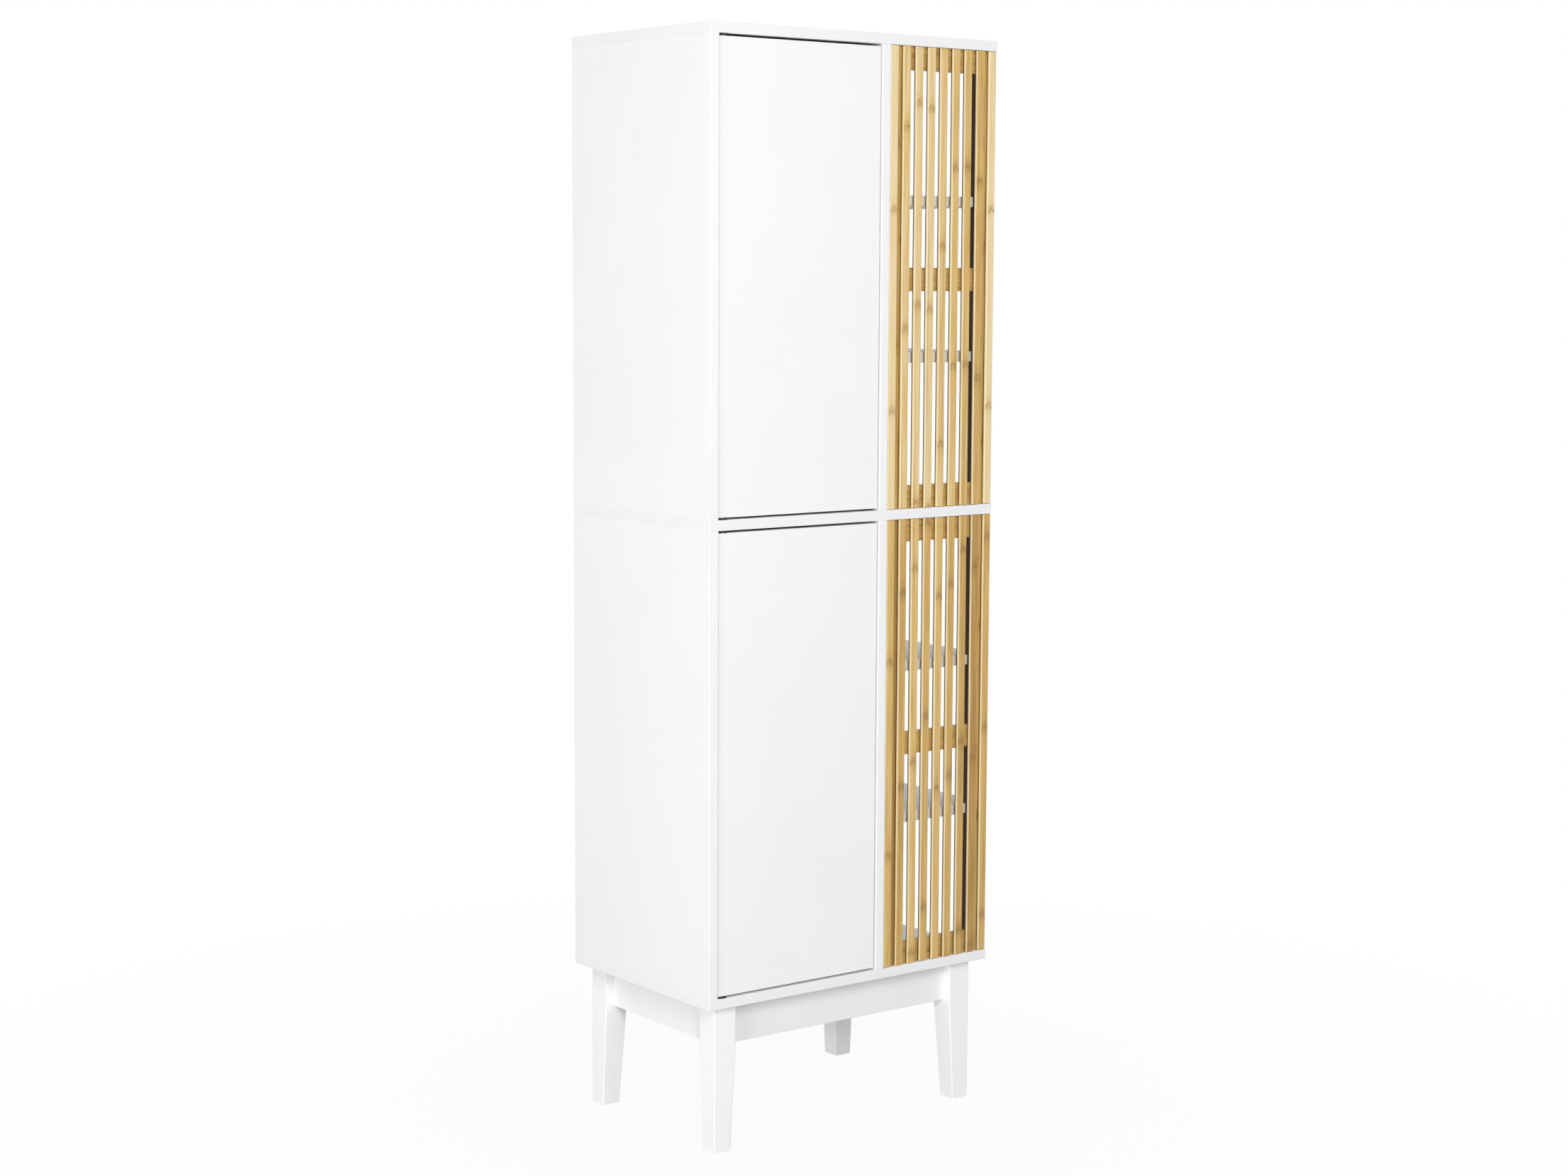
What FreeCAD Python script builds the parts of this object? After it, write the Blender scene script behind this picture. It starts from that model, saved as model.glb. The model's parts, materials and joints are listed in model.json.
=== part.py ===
"""Tall bathroom cabinet on tapered legs: two push-to-open white doors on the left, and on the right
open side shelves behind fixed screens of bamboo slats. Millimetres, +Z up, front towards -Y, origin on
the floor under the middle of the body."""
import FreeCAD, Part
import os
from FreeCAD import Vector

# Body
WIDTH = 520.0
DEPTH = 350.0
STOREY = 669.0
BOARD = 15.0
LEG_HEIGHT = 217.0
DOOR_BAY = 288.0
BACK_PANEL = 4.0
REBATE = 5.0
EDGE = 0.6
DOWEL_DIAMETER = 8.0
DOWEL_IN_PANEL = 22.0
DOWEL_IN_BOARD = 10.0
DOWEL_INSET = 45.0

# Shelves
SHELVES_PER_STOREY = 2
SHELF_PLAY = 1.0
LEFT_SHELF_SETBACK = 32.0
SHELF_REVEAL = 1.0
PIN_DIAMETER = 5.0
PIN_IN_PANEL = 8.0
PIN_IN_BAY = 9.0
PIN_INSET = 45.0
SHELF_SCREW_DIAMETER = 5.0
SHELF_SCREW_LENGTH = 50.0
SHELF_SCREW_HEAD = 9.0
SHELF_SCREW_HEAD_HEIGHT = 3.0
SHELF_SCREW_INSET = 80.0
SHELF_DOWEL_DIAMETER = 6.0
SHELF_DOWEL_IN_POST = 14.0
SHELF_DOWEL_IN_SHELF = 16.0

# Bamboo screens
SLAT_COUNT = 9
SLAT_WIDTH = 13.0
SLAT_THICKNESS = 6.0
SLAT_EDGE = 0.8
SLAT_END_GAP = 0.5
SCREEN_REVEAL = 2.0
SCREEN_GAP = 1.0
FRAME_THICKNESS = 8.0
STILE_WIDTH = 30.0
RAIL_HEIGHT = 34.0
RAIL_TENON_LENGTH = 8.0
RAIL_TENON_THICKNESS = 3.0
RAIL_SHOULDER = 5.0
POST = 30.0
POST_EDGE = 1.0

# Doors
DOOR_THICKNESS = 15.0
DOOR_RECESS = 2.0
DOOR_SIDE_GAP = 2.0
DOOR_TOP_GAP = 3.5
DOOR_BOTTOM_GAP = 3.0
DOOR_EDGE = 0.8
PIVOT_INSET = 10.0
PIVOT_SETBACK = 5.5
PIVOT_DIAMETER = 5.0
PIVOT_IN_DOOR = 26.0
PIVOT_RUN = 0.05
PIVOT_LIFT = 0.3
BUSH_DIAMETER = 9.0
BUSH_DEPTH = 6.5
BUSH_FLANGE = 13.0

# Push latches
LATCH_WIDTH = 12.0
LATCH_HEIGHT = 14.0
LATCH_LENGTH = 45.0
LATCH_EDGE = 1.0
LATCH_FLANGE = 3.0
LATCH_FLANGE_HEIGHT = 36.0
PLUNGER_DIAMETER = 6.0
PLUNGER_IN_LATCH = 24.0
PLUNGER_TRAVEL = 3.0
PLUNGER_RUN = 0.05
PLUNGER_GAP = 0.3
PLUNGER_TIP = 9.0
PLUNGER_TIP_LENGTH = 4.0
PLUNGER_TIP_EDGE = 1.0
STRIKE_THICKNESS = 1.0
STRIKE_WIDTH = 10.0
STRIKE_HEIGHT = 22.0
STRIKE_INSET = 1.0

# Base
LEG_TOP = 38.0
LEG_FOOT = 29.5
LEG_EDGE = 1.5
LEG_SIDE_INSET = 20.5
LEG_FRONT_INSET = 15.5
APRON_HEIGHT = 62.0
APRON_THICKNESS = 18.0
APRON_SETBACK = 15.0
APRON_TENON_LENGTH = 9.0
APRON_TENON_THICKNESS = 6.0
APRON_TENON_INSET = 2.0
APRON_SHOULDER = 10.0
BRACE_HEIGHT = 40.0
BRACE_THICKNESS = 20.0
LEG_BOLT_DIAMETER = 6.0
LEG_BOLT_IN_LEG = 24.0
LEG_BOLT_TAIL = 12.0
NUT_WIDTH = 10.0
NUT_HEIGHT = 5.0
BASE_SCREW_DIAMETER = 4.0
BASE_SCREW_HEAD = 8.0
BASE_SCREW_HEAD_HEIGHT = 2.5
BASE_SCREW_IN_BOARD = 11.0
BASE_SCREW_OFFSET = 8.0
GLIDE_DIAMETER = 20.0
GLIDE_HEIGHT = 3.0
GLIDE_SUNK = 2.0
GLIDE_EDGE = 0.8
GLIDE_NAIL_DIAMETER = 2.0
GLIDE_NAIL_LENGTH = 14.0

# Wall brackets against tipping
BRACKET_COUNT = 2
BRACKET_WIDTH = 20.0
BRACKET_THICKNESS = 2.0
BRACKET_ARM = 34.0
BRACKET_DROP = 40.0
BRACKET_BEND = 3.0
BRACKET_INSET = 60.0
WALL_HOLE_DIAMETER = 6.0
WALL_HOLE_DROP = 26.0
BRACKET_SCREW_DIAMETER = 3.5
BRACKET_SCREW_DEPTH = 10.0
BRACKET_SCREW_HEAD = 7.0
BRACKET_SCREW_HEAD_HEIGHT = 2.0

# Room left round a piece that is set into a hole, and at the blind end of the hole
FIT = 0.05
END_ROOM = 0.5

X, Y, Z = Vector(1, 0, 0), Vector(0, 1, 0), Vector(0, 0, 1)

# Planes of the body, worked out from the sizes above
LEFT = -WIDTH / 2
RIGHT = WIDTH / 2
FRONT = -DEPTH / 2
BACK = DEPTH / 2
SIDE_INNER = LEFT + BOARD
DIVIDER_LEFT = SIDE_INNER + DOOR_BAY
DIVIDER_RIGHT = DIVIDER_LEFT + BOARD
PANEL_FRONT = BACK - BACK_PANEL
SLAT_BACK = FRONT + SLAT_THICKNESS
FRAME_BACK = SLAT_BACK + FRAME_THICKNESS
STILE_RIGHT = DIVIDER_RIGHT + STILE_WIDTH
POST_RIGHT = RIGHT - SCREEN_REVEAL
POST_LEFT = POST_RIGHT - POST
POST_BACK = SLAT_BACK + POST
REAR_POST_FRONT = PANEL_FRONT - POST
DOOR_FRONT = FRONT + DOOR_RECESS
DOOR_BACK = DOOR_FRONT + DOOR_THICKNESS
DOOR_LEFT = SIDE_INNER + DOOR_SIDE_GAP
DOOR_RIGHT = DIVIDER_LEFT - DOOR_SIDE_GAP
PIVOT_X = DOOR_LEFT + PIVOT_INSET
PIVOT_Y = DOOR_FRONT + PIVOT_SETBACK
PLUNGER_X = DIVIDER_LEFT - LATCH_WIDTH / 2
PLUNGER_Y = DOOR_BACK + STRIKE_THICKNESS + PLUNGER_GAP
LATCH_Y = PLUNGER_Y + PLUNGER_TIP_LENGTH + PLUNGER_TRAVEL + PLUNGER_GAP

# Heights of the three boards and of the floor of each storey
BOTTOM_Z = LEG_HEIGHT
MIDDLE_Z = BOTTOM_Z + BOARD + STOREY
TOP_Z = MIDDLE_Z + BOARD + STOREY
STOREYS = {"lower": BOTTOM_Z + BOARD, "upper": MIDDLE_Z + BOARD}
BAY_HEIGHT = (STOREY - SHELVES_PER_STOREY * BOARD) / (SHELVES_PER_STOREY + 1)
SHELF_NAMES = ["low", "high"]

# The corner braces lie across the diagonals of the base, between these distances from a leg's outer corner
BRACE_NEAR = (2 * LEG_TOP - LEG_EDGE) / 2 ** 0.5
BRACE_FAR = BRACE_NEAR + BRACE_THICKNESS
BRACE_Z = BOTTOM_Z - BRACE_HEIGHT
LEG_BOLT_Z = BOTTOM_Z - BRACE_HEIGHT / 2


def block(x0, x1, y0, y1, z0, z1):
    """A rectangular piece between two corners."""
    return Part.makeBox(x1 - x0, y1 - y0, z1 - z0, Vector(x0, y0, z0))


def rod(diameter, start, direction, length):
    """A plain round piece from a start point along a direction."""
    return Part.makeCylinder(diameter / 2, length, start, direction)


def prism(points, direction):
    """A flat outline drawn out along a direction."""
    return Part.Face(Part.makePolygon(points + points[:1])).extrude(direction)


def turned(profile, start, direction):
    """A round piece: a profile of diameters and heights, turned about the line from start along direction."""
    ends = [(0, profile[0][1])] + profile + [(0, profile[-1][1])]
    points = [Vector(diameter / 2, 0, height) for diameter, height in ends]
    solid = Part.Face(Part.makePolygon(points + points[:1])).revolve(Vector(), Z, 360)
    solid.Placement = FreeCAD.Placement(start, FreeCAD.Rotation(Z, direction))
    return solid


def eased(shape, size):
    """The shape with every edge broken by a small chamfer."""
    return shape.makeChamfer(size, shape.Edges)


def cut(shape, tools):
    """The shape with all the tools cut out of it."""
    return shape.cut(Part.Compound(tools))


def save(name, solids):
    """Writes one named piece, or a group of like pieces, as one STEP file."""
    shape = solids[0] if len(solids) == 1 else Part.Compound(solids)
    shape.exportStep("parts/" + name + ".step")


def shelf_undersides(floor):
    """Heights of the undersides of the shelves in the storey that stands on this floor."""
    return [floor + BAY_HEIGHT + i * (BAY_HEIGHT + BOARD) for i in range(SHELVES_PER_STOREY)]


def all_undersides():
    """The undersides of the shelves in both storeys."""
    return [under for floor in STOREYS.values() for under in shelf_undersides(floor)]


def board_dowels(room, end_room):
    """Upright dowels that tie sides, dividers and posts to the boards; those in the middle board run through."""
    rows = [LEFT + BOARD / 2, DIVIDER_LEFT + BOARD / 2]
    places = [(x, y) for x in rows for y in (FRONT + DOWEL_INSET, PANEL_FRONT - DOWEL_INSET)]
    places += [(POST_LEFT + POST / 2, y) for y in (SLAT_BACK + POST / 2, PANEL_FRONT - POST / 2)]
    spans = [
        (BOTTOM_Z + BOARD - DOWEL_IN_BOARD, BOTTOM_Z + BOARD + DOWEL_IN_PANEL),
        (MIDDLE_Z - DOWEL_IN_PANEL, MIDDLE_Z + BOARD + DOWEL_IN_PANEL),
        (TOP_Z - DOWEL_IN_PANEL, TOP_Z + DOWEL_IN_BOARD),
    ]
    return [
        rod(DOWEL_DIAMETER + 2 * room, Vector(x, y, low - end_room), Z, high - low + 2 * end_room)
        for x, y in places
        for low, high in spans
    ]


def shelf_dowels(room, end_room):
    """Level dowels between the fixed shelves and the two posts of the open side."""
    length = SHELF_DOWEL_IN_SHELF + SHELF_DOWEL_IN_POST + 2 * end_room
    start_x = POST_LEFT - SHELF_DOWEL_IN_SHELF - end_room
    rows = [(FRAME_BACK + POST_BACK) / 2, PANEL_FRONT - POST / 2]
    return [
        rod(SHELF_DOWEL_DIAMETER + 2 * room, Vector(start_x, y, under + BOARD / 2), X, length)
        for under in all_undersides()
        for y in rows
    ]


def shelf_pins(room):
    """Pins in the left side and the divider, four under each loose shelf."""
    rows = [FRONT + LEFT_SHELF_SETBACK + PIN_INSET, PANEL_FRONT - PIN_INSET]
    length = PIN_IN_PANEL + PIN_IN_BAY + room
    starts = [(SIDE_INNER - PIN_IN_PANEL - room, X), (DIVIDER_LEFT + PIN_IN_PANEL + room, -X)]
    return [
        rod(PIN_DIAMETER + 2 * room, Vector(x, y, under - PIN_DIAMETER / 2), direction, length)
        for under in all_undersides()
        for y in rows
        for x, direction in starts
    ]


def shelf_screws(room):
    """Countersunk screws through the divider into the ends of the fixed shelves."""
    head = SHELF_SCREW_HEAD + 2 * room
    shank = SHELF_SCREW_DIAMETER + 2 * room
    profile = [(head, 0), (shank, SHELF_SCREW_HEAD_HEIGHT), (shank, SHELF_SCREW_LENGTH + room)]
    rows = [FRAME_BACK + SHELF_SCREW_INSET, PANEL_FRONT - SHELF_SCREW_INSET]
    return [
        turned(profile, Vector(DIVIDER_LEFT, y, under + BOARD / 2), X)
        for under in all_undersides()
        for y in rows
    ]


DOWEL_HOLES = board_dowels(FIT, END_ROOM)
SHELF_DOWEL_HOLES = shelf_dowels(FIT, END_ROOM)


def pivot_seats(floor):
    """The two door pivots of a storey: board face, direction out of the door, gap between board and door."""
    return [(floor, -Z, DOOR_BOTTOM_GAP), (floor + STOREY, Z, DOOR_TOP_GAP)]


def pivot_bushes(room):
    """Flanged bushes for the door pins, in the boards above and below each door."""
    flange = DOOR_BOTTOM_GAP - PIVOT_LIFT
    sleeve = BUSH_DIAMETER + 2 * room
    profile = [(BUSH_FLANGE, -flange), (BUSH_FLANGE, 0), (sleeve, 0), (sleeve, BUSH_DEPTH + room)]
    return [
        turned(profile, Vector(PIVOT_X, PIVOT_Y, face), outwards)
        for floor in STOREYS.values()
        for face, outwards, gap in pivot_seats(floor)
    ]


def pivot_pins(floor, room):
    """The two steel pins on which a door turns."""
    pins = []
    for face, outwards, gap in pivot_seats(floor):
        start = Vector(PIVOT_X, PIVOT_Y, face) - outwards * (gap + PIVOT_IN_DOOR)
        pins.append(rod(PIVOT_DIAMETER + 2 * room, start, outwards, PIVOT_IN_DOOR + gap + BUSH_DEPTH - END_ROOM))
    return pins


def bracket_places():
    """Middle lines of the wall brackets across the left bay."""
    span = DOOR_BAY - 2 * BRACKET_INSET
    return [SIDE_INNER + BRACKET_INSET + i * span / (BRACKET_COUNT - 1) for i in range(BRACKET_COUNT)]


def wall_holes():
    """Holes for the wall screws, through the brackets and the upper back panel."""
    start_y = PANEL_FRONT - BRACKET_THICKNESS
    return [
        rod(WALL_HOLE_DIAMETER, Vector(x, start_y, TOP_Z - WALL_HOLE_DROP), Y, BRACKET_THICKNESS + BACK_PANEL)
        for x in bracket_places()
    ]


def bracket_screws(room):
    """Pan-head screws that hold the wall brackets up under the top board."""
    shank = BRACKET_SCREW_DIAMETER + 2 * room
    tip = BRACKET_THICKNESS + BRACKET_SCREW_DEPTH + room
    profile = [(BRACKET_SCREW_HEAD, -BRACKET_SCREW_HEAD_HEIGHT), (BRACKET_SCREW_HEAD, 0), (shank, 0), (shank, tip)]
    y = PANEL_FRONT - BRACKET_ARM / 2
    return [turned(profile, Vector(x, y, TOP_Z - BRACKET_THICKNESS), Z) for x in bracket_places()]


def make_brackets():
    """Bent steel angles inside the upper left bay, which tie the cabinet to a wall."""
    inner = BRACKET_THICKNESS
    corner = [(0, 0), (0, BRACKET_DROP), (inner, BRACKET_DROP), (inner, inner), (BRACKET_ARM, inner),
              (BRACKET_ARM, 0)]
    brackets = []
    for x in bracket_places():
        left = x - BRACKET_WIDTH / 2
        angle = prism([Vector(left, PANEL_FRONT - u, TOP_Z - v) for u, v in corner], X * BRACKET_WIDTH)
        bend = [edge for edge in angle.Edges
                if edge.CenterOfMass.distanceToPoint(Vector(x, PANEL_FRONT, TOP_Z)) < FIT]
        brackets.append(cut(angle.makeFillet(BRACKET_BEND, bend), wall_holes() + bracket_screws(FIT)))
    save("wall_brackets", brackets)
    save("bracket_screws", bracket_screws(0))


def horizontal_board(name, z, rebates, tools):
    """A full-width board, rebated along its back edges for the back panels."""
    board = eased(block(LEFT, RIGHT, FRONT, BACK, z, z + BOARD), EDGE)
    rebates = [
        block(SIDE_INNER - REBATE, RIGHT, PANEL_FRONT, BACK, low, low + REBATE)
        for low in rebates
    ]
    save(name, [cut(board, rebates + DOWEL_HOLES + pivot_bushes(FIT) + tools)])


def make_body():
    """The three boards, the left sides, the dividers and the back panels."""
    horizontal_board("top_board", TOP_Z, [TOP_Z], bracket_screws(FIT))
    horizontal_board("middle_board", MIDDLE_Z, [MIDDLE_Z, MIDDLE_Z + BOARD - REBATE], [])
    horizontal_board("bottom_board", BOTTOM_Z, [BOTTOM_Z + BOARD - REBATE], base_screws(FIT, END_ROOM))
    for storey, floor in STOREYS.items():
        ceiling = floor + STOREY
        holes = DOWEL_HOLES + shelf_pins(FIT)
        side = eased(block(LEFT, SIDE_INNER, FRONT, BACK, floor, ceiling), EDGE)
        rebate = block(SIDE_INNER - REBATE, SIDE_INNER, PANEL_FRONT, BACK, floor, ceiling)
        save("left_side_" + storey, [cut(side, [rebate] + holes)])
        divider = eased(block(DIVIDER_LEFT, DIVIDER_RIGHT, FRONT, PANEL_FRONT, floor, ceiling), EDGE)
        save("divider_" + storey, [cut(divider, holes + shelf_screws(FIT))])
        back = block(SIDE_INNER - REBATE + FIT, RIGHT - EDGE, PANEL_FRONT, BACK,
                     floor - REBATE + FIT, ceiling + REBATE - FIT)
        save("back_panel_" + storey, [cut(back, wall_holes())])
    save("board_dowels", board_dowels(0, 0))


def make_shelves():
    """Loose shelves on pins in the left bay, and fixed shelves notched round the posts on the right."""
    notches = [
        block(POST_LEFT - FIT, RIGHT, FRONT, POST_BACK + FIT, BOTTOM_Z, TOP_Z),
        block(POST_LEFT - FIT, RIGHT, REAR_POST_FRONT - FIT, BACK, BOTTOM_Z, TOP_Z),
    ]
    for storey, floor in STOREYS.items():
        for name, under in zip(SHELF_NAMES, shelf_undersides(floor)):
            loose = block(SIDE_INNER + SHELF_PLAY, DIVIDER_LEFT - SHELF_PLAY, FRONT + LEFT_SHELF_SETBACK,
                          PANEL_FRONT - SHELF_PLAY, under, under + BOARD)
            save(storey + "_left_shelf_" + name, [eased(loose, EDGE)])
            fixed = block(DIVIDER_RIGHT, RIGHT - SHELF_REVEAL, FRAME_BACK, PANEL_FRONT, under, under + BOARD)
            holes = shelf_screws(FIT) + SHELF_DOWEL_HOLES
            save(storey + "_right_shelf_" + name, [cut(eased(fixed, EDGE), notches + holes)])
    save("shelf_pins", shelf_pins(0))
    save("shelf_screws", shelf_screws(0))
    save("shelf_dowels", shelf_dowels(0, 0))


def rail_spans(floor):
    """Heights of the bottom, middle and top rails of a screen."""
    lows = [floor, floor + (STOREY - RAIL_HEIGHT) / 2, floor + STOREY - RAIL_HEIGHT]
    return [(low, low + RAIL_HEIGHT) for low in lows]


def rail_tongues(floor, room):
    """The rails' cores, long enough to form a stub tenon at each end, or with some room the mortises."""
    middle = (SLAT_BACK + FRAME_BACK) / 2
    half = RAIL_TENON_THICKNESS / 2 + room
    reach = RAIL_TENON_LENGTH + room
    inset = RAIL_SHOULDER - room
    return [
        block(STILE_RIGHT - reach, POST_LEFT + reach, middle - half, middle + half, low + inset, high - inset)
        for low, high in rail_spans(floor)
    ]


def make_screen(storey, floor):
    """One bamboo screen: a stile, three rails and a corner post, with slats across their fronts."""
    ceiling = floor + STOREY
    mortises = rail_tongues(floor, FIT)
    stile = block(DIVIDER_RIGHT, STILE_RIGHT, SLAT_BACK, FRAME_BACK, floor, ceiling)
    save("stile_" + storey, [cut(stile, mortises)])
    holes = DOWEL_HOLES + SHELF_DOWEL_HOLES
    front_post = eased(block(POST_LEFT, POST_RIGHT, SLAT_BACK, POST_BACK, floor, ceiling), POST_EDGE)
    save("front_post_" + storey, [cut(front_post, mortises + holes)])
    rear_post = eased(block(POST_LEFT, POST_RIGHT, REAR_POST_FRONT, PANEL_FRONT, floor, ceiling), POST_EDGE)
    save("rear_post_" + storey, [cut(rear_post, holes)])
    rails = [
        block(STILE_RIGHT, POST_LEFT, SLAT_BACK, FRAME_BACK, low, high).fuse(tongue).removeSplitter()
        for (low, high), tongue in zip(rail_spans(floor), rail_tongues(floor, 0))
    ]
    save("rails_" + storey, rails)
    first = DIVIDER_RIGHT + SCREEN_GAP
    pitch = (POST_RIGHT - first - SLAT_WIDTH) / (SLAT_COUNT - 1)
    lefts = [first + i * pitch for i in range(SLAT_COUNT)]
    slats = [
        eased(block(left, left + SLAT_WIDTH, FRONT, SLAT_BACK, floor + SLAT_END_GAP, ceiling - SLAT_END_GAP),
              SLAT_EDGE)
        for left in lefts
    ]
    save("slats_" + storey, slats)


def make_latch(storey, floor):
    """A push latch on the divider behind the middle of a door, its sprung plunger and the door's strike plate."""
    z = floor + STOREY / 2
    tall = LATCH_HEIGHT / 2
    end = LATCH_Y + LATCH_LENGTH
    body = eased(block(DIVIDER_LEFT - LATCH_WIDTH, DIVIDER_LEFT, LATCH_Y, end, z - tall, z + tall), LATCH_EDGE)
    flange = block(DIVIDER_LEFT - LATCH_FLANGE, DIVIDER_LEFT, LATCH_Y, end, z - LATCH_FLANGE_HEIGHT / 2,
                   z + LATCH_FLANGE_HEIGHT / 2)
    depth = PLUNGER_IN_LATCH + PLUNGER_TRAVEL + END_ROOM
    bore = rod(PLUNGER_DIAMETER + 2 * PLUNGER_RUN, Vector(PLUNGER_X, LATCH_Y, z), Y, depth)
    save("latch_body_" + storey, [cut(body.fuse(flange).removeSplitter(), [bore])])
    stem_end = LATCH_Y - PLUNGER_Y + PLUNGER_IN_LATCH
    profile = [(PLUNGER_TIP - 2 * PLUNGER_TIP_EDGE, 0), (PLUNGER_TIP, PLUNGER_TIP_EDGE),
               (PLUNGER_TIP, PLUNGER_TIP_LENGTH), (PLUNGER_DIAMETER, PLUNGER_TIP_LENGTH),
               (PLUNGER_DIAMETER, stem_end)]
    save("latch_plunger_" + storey, [turned(profile, Vector(PLUNGER_X, PLUNGER_Y, z), Y)])
    strike_right = DOOR_RIGHT - STRIKE_INSET
    strike = block(strike_right - STRIKE_WIDTH, strike_right, DOOR_BACK, DOOR_BACK + STRIKE_THICKNESS,
                   z - STRIKE_HEIGHT / 2, z + STRIKE_HEIGHT / 2)
    save("strike_plate_" + storey, [strike])


def make_door(storey, floor):
    """A plain door panel that turns on two pins near its left edge."""
    panel = block(DOOR_LEFT, DOOR_RIGHT, DOOR_FRONT, DOOR_BACK, floor + DOOR_BOTTOM_GAP,
                  floor + STOREY - DOOR_TOP_GAP)
    save("door_" + storey, [cut(eased(panel, DOOR_EDGE), pivot_pins(floor, FIT))])
    save("pivot_pins_" + storey, pivot_pins(floor, 0))


def make_bushes():
    """The pivot bushes, bored to a running fit on the door pins."""
    bores = [bore for floor in STOREYS.values() for bore in pivot_pins(floor, PIVOT_RUN)]
    save("pivot_bushes", [cut(bush, bores) for bush in pivot_bushes(0)])


def leg_corners():
    """Outer corner of each leg, with the directions that lead inwards from it."""
    x = WIDTH / 2 - LEG_SIDE_INSET
    y = DEPTH / 2 - LEG_FRONT_INSET
    return {
        "front_left": (-x, -y, 1, 1),
        "front_right": (x, -y, -1, 1),
        "back_left": (-x, y, 1, -1),
        "back_right": (x, y, -1, -1),
    }


def from_corner(corner, u, v, z):
    """The point at distances u and v inwards from a leg's outer corner."""
    x, y, across, along = corner
    return Vector(x + across * u, y + along * v, z)


def diagonal(corner):
    """The level direction from a leg's outer corner towards the middle of the base."""
    return (from_corner(corner, 1, 1, 0) - from_corner(corner, 0, 0, 0)).normalize()


def leg_section(corner, size, z):
    """A square leg's outline at this height, with its edges broken."""
    near, far = LEG_EDGE, size - LEG_EDGE
    points = [(near, 0), (far, 0), (size, near), (size, far), (far, size), (near, size), (0, far), (0, near)]
    outline = [from_corner(corner, u, v, z) for u, v in points]
    return Part.makePolygon(outline + outline[:1])


def apron(side, near, far, end_gap, low, high):
    """A level bar along one side of the base, between these distances from the legs' outer faces."""
    x, y, across, along = leg_corners()["front_left"]
    spans = {
        "front": (x + end_gap, -x - end_gap, y + near, y + far),
        "back": (x + end_gap, -x - end_gap, -y - far, -y - near),
        "left": (x + near, x + far, y + end_gap, -y - end_gap),
        "right": (-x - far, -x - near, y + end_gap, -y - end_gap),
    }
    return block(*spans[side], low, high)


def apron_tongue(side, room):
    """An apron's core, long enough to form a tenon at each end, or with some room the mortises in the legs."""
    near = APRON_SETBACK + APRON_TENON_INSET - room
    far = near + APRON_TENON_THICKNESS + 2 * room
    inset = APRON_SHOULDER - room
    end_gap = LEG_TOP - APRON_TENON_LENGTH - room
    return apron(side, near, far, end_gap, BOTTOM_Z - APRON_HEIGHT + inset, BOTTOM_Z - inset)


def brace(corner):
    """A corner brace: it bears on the inner faces of two aprons and on the leg's inner edge."""
    wall = APRON_SETBACK + APRON_THICKNESS
    near = BRACE_NEAR * 2 ** 0.5 - wall
    far = BRACE_FAR * 2 ** 0.5 - wall
    outline = [from_corner(corner, u, v, BRACE_Z) for u, v in ((near, wall), (far, wall), (wall, far), (wall, near))]
    return prism(outline, Z * BRACE_HEIGHT)


def leg_bolt(corner, room):
    """A bolt from inside the leg, along the diagonal, through the brace to its nut."""
    start = from_corner(corner, 0, 0, LEG_BOLT_Z) + diagonal(corner) * (BRACE_NEAR - LEG_BOLT_IN_LEG - room)
    length = LEG_BOLT_IN_LEG + BRACE_THICKNESS + LEG_BOLT_TAIL + room
    return rod(LEG_BOLT_DIAMETER + 2 * room, start, diagonal(corner), length)


def leg_nut(corner):
    """A hexagon nut drawn up against the brace."""
    corner_radius = Vector(NUT_WIDTH / 3 ** 0.5, 0, 0)
    nut = prism([FreeCAD.Rotation(Z, 60 * i).multVec(corner_radius) for i in range(6)], Z * NUT_HEIGHT)
    seat = from_corner(corner, 0, 0, LEG_BOLT_Z) + diagonal(corner) * BRACE_FAR
    nut.Placement = FreeCAD.Placement(seat, FreeCAD.Rotation(Z, diagonal(corner)))
    return cut(nut, [leg_bolt(corner, FIT)])


def base_screws(room, end_room):
    """Pan-head screws up through the braces, beside the leg bolts, into the bottom board."""
    shank = BASE_SCREW_DIAMETER + 2 * room
    tip = BRACE_HEIGHT + BASE_SCREW_IN_BOARD + end_room
    profile = [(BASE_SCREW_HEAD, -BASE_SCREW_HEAD_HEIGHT), (BASE_SCREW_HEAD, 0), (shank, 0), (shank, tip)]
    screws = []
    for corner in leg_corners().values():
        inwards = diagonal(corner)
        sideways = inwards.cross(Z)
        middle = from_corner(corner, 0, 0, BRACE_Z) + inwards * (BRACE_NEAR + BRACE_FAR) * 0.5
        screws.append(turned(profile, middle + sideways * BASE_SCREW_OFFSET, Z))
    return screws


def foot_glide(corner):
    """A nail-on glide, let into the middle of a foot."""
    tip = GLIDE_HEIGHT + GLIDE_NAIL_LENGTH
    profile = [(GLIDE_DIAMETER - 2 * GLIDE_EDGE, 0), (GLIDE_DIAMETER, GLIDE_EDGE), (GLIDE_DIAMETER, GLIDE_HEIGHT),
               (GLIDE_NAIL_DIAMETER, GLIDE_HEIGHT), (GLIDE_NAIL_DIAMETER, tip)]
    return turned(profile, from_corner(corner, LEG_FOOT / 2, LEG_FOOT / 2, 0), Z)


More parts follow.
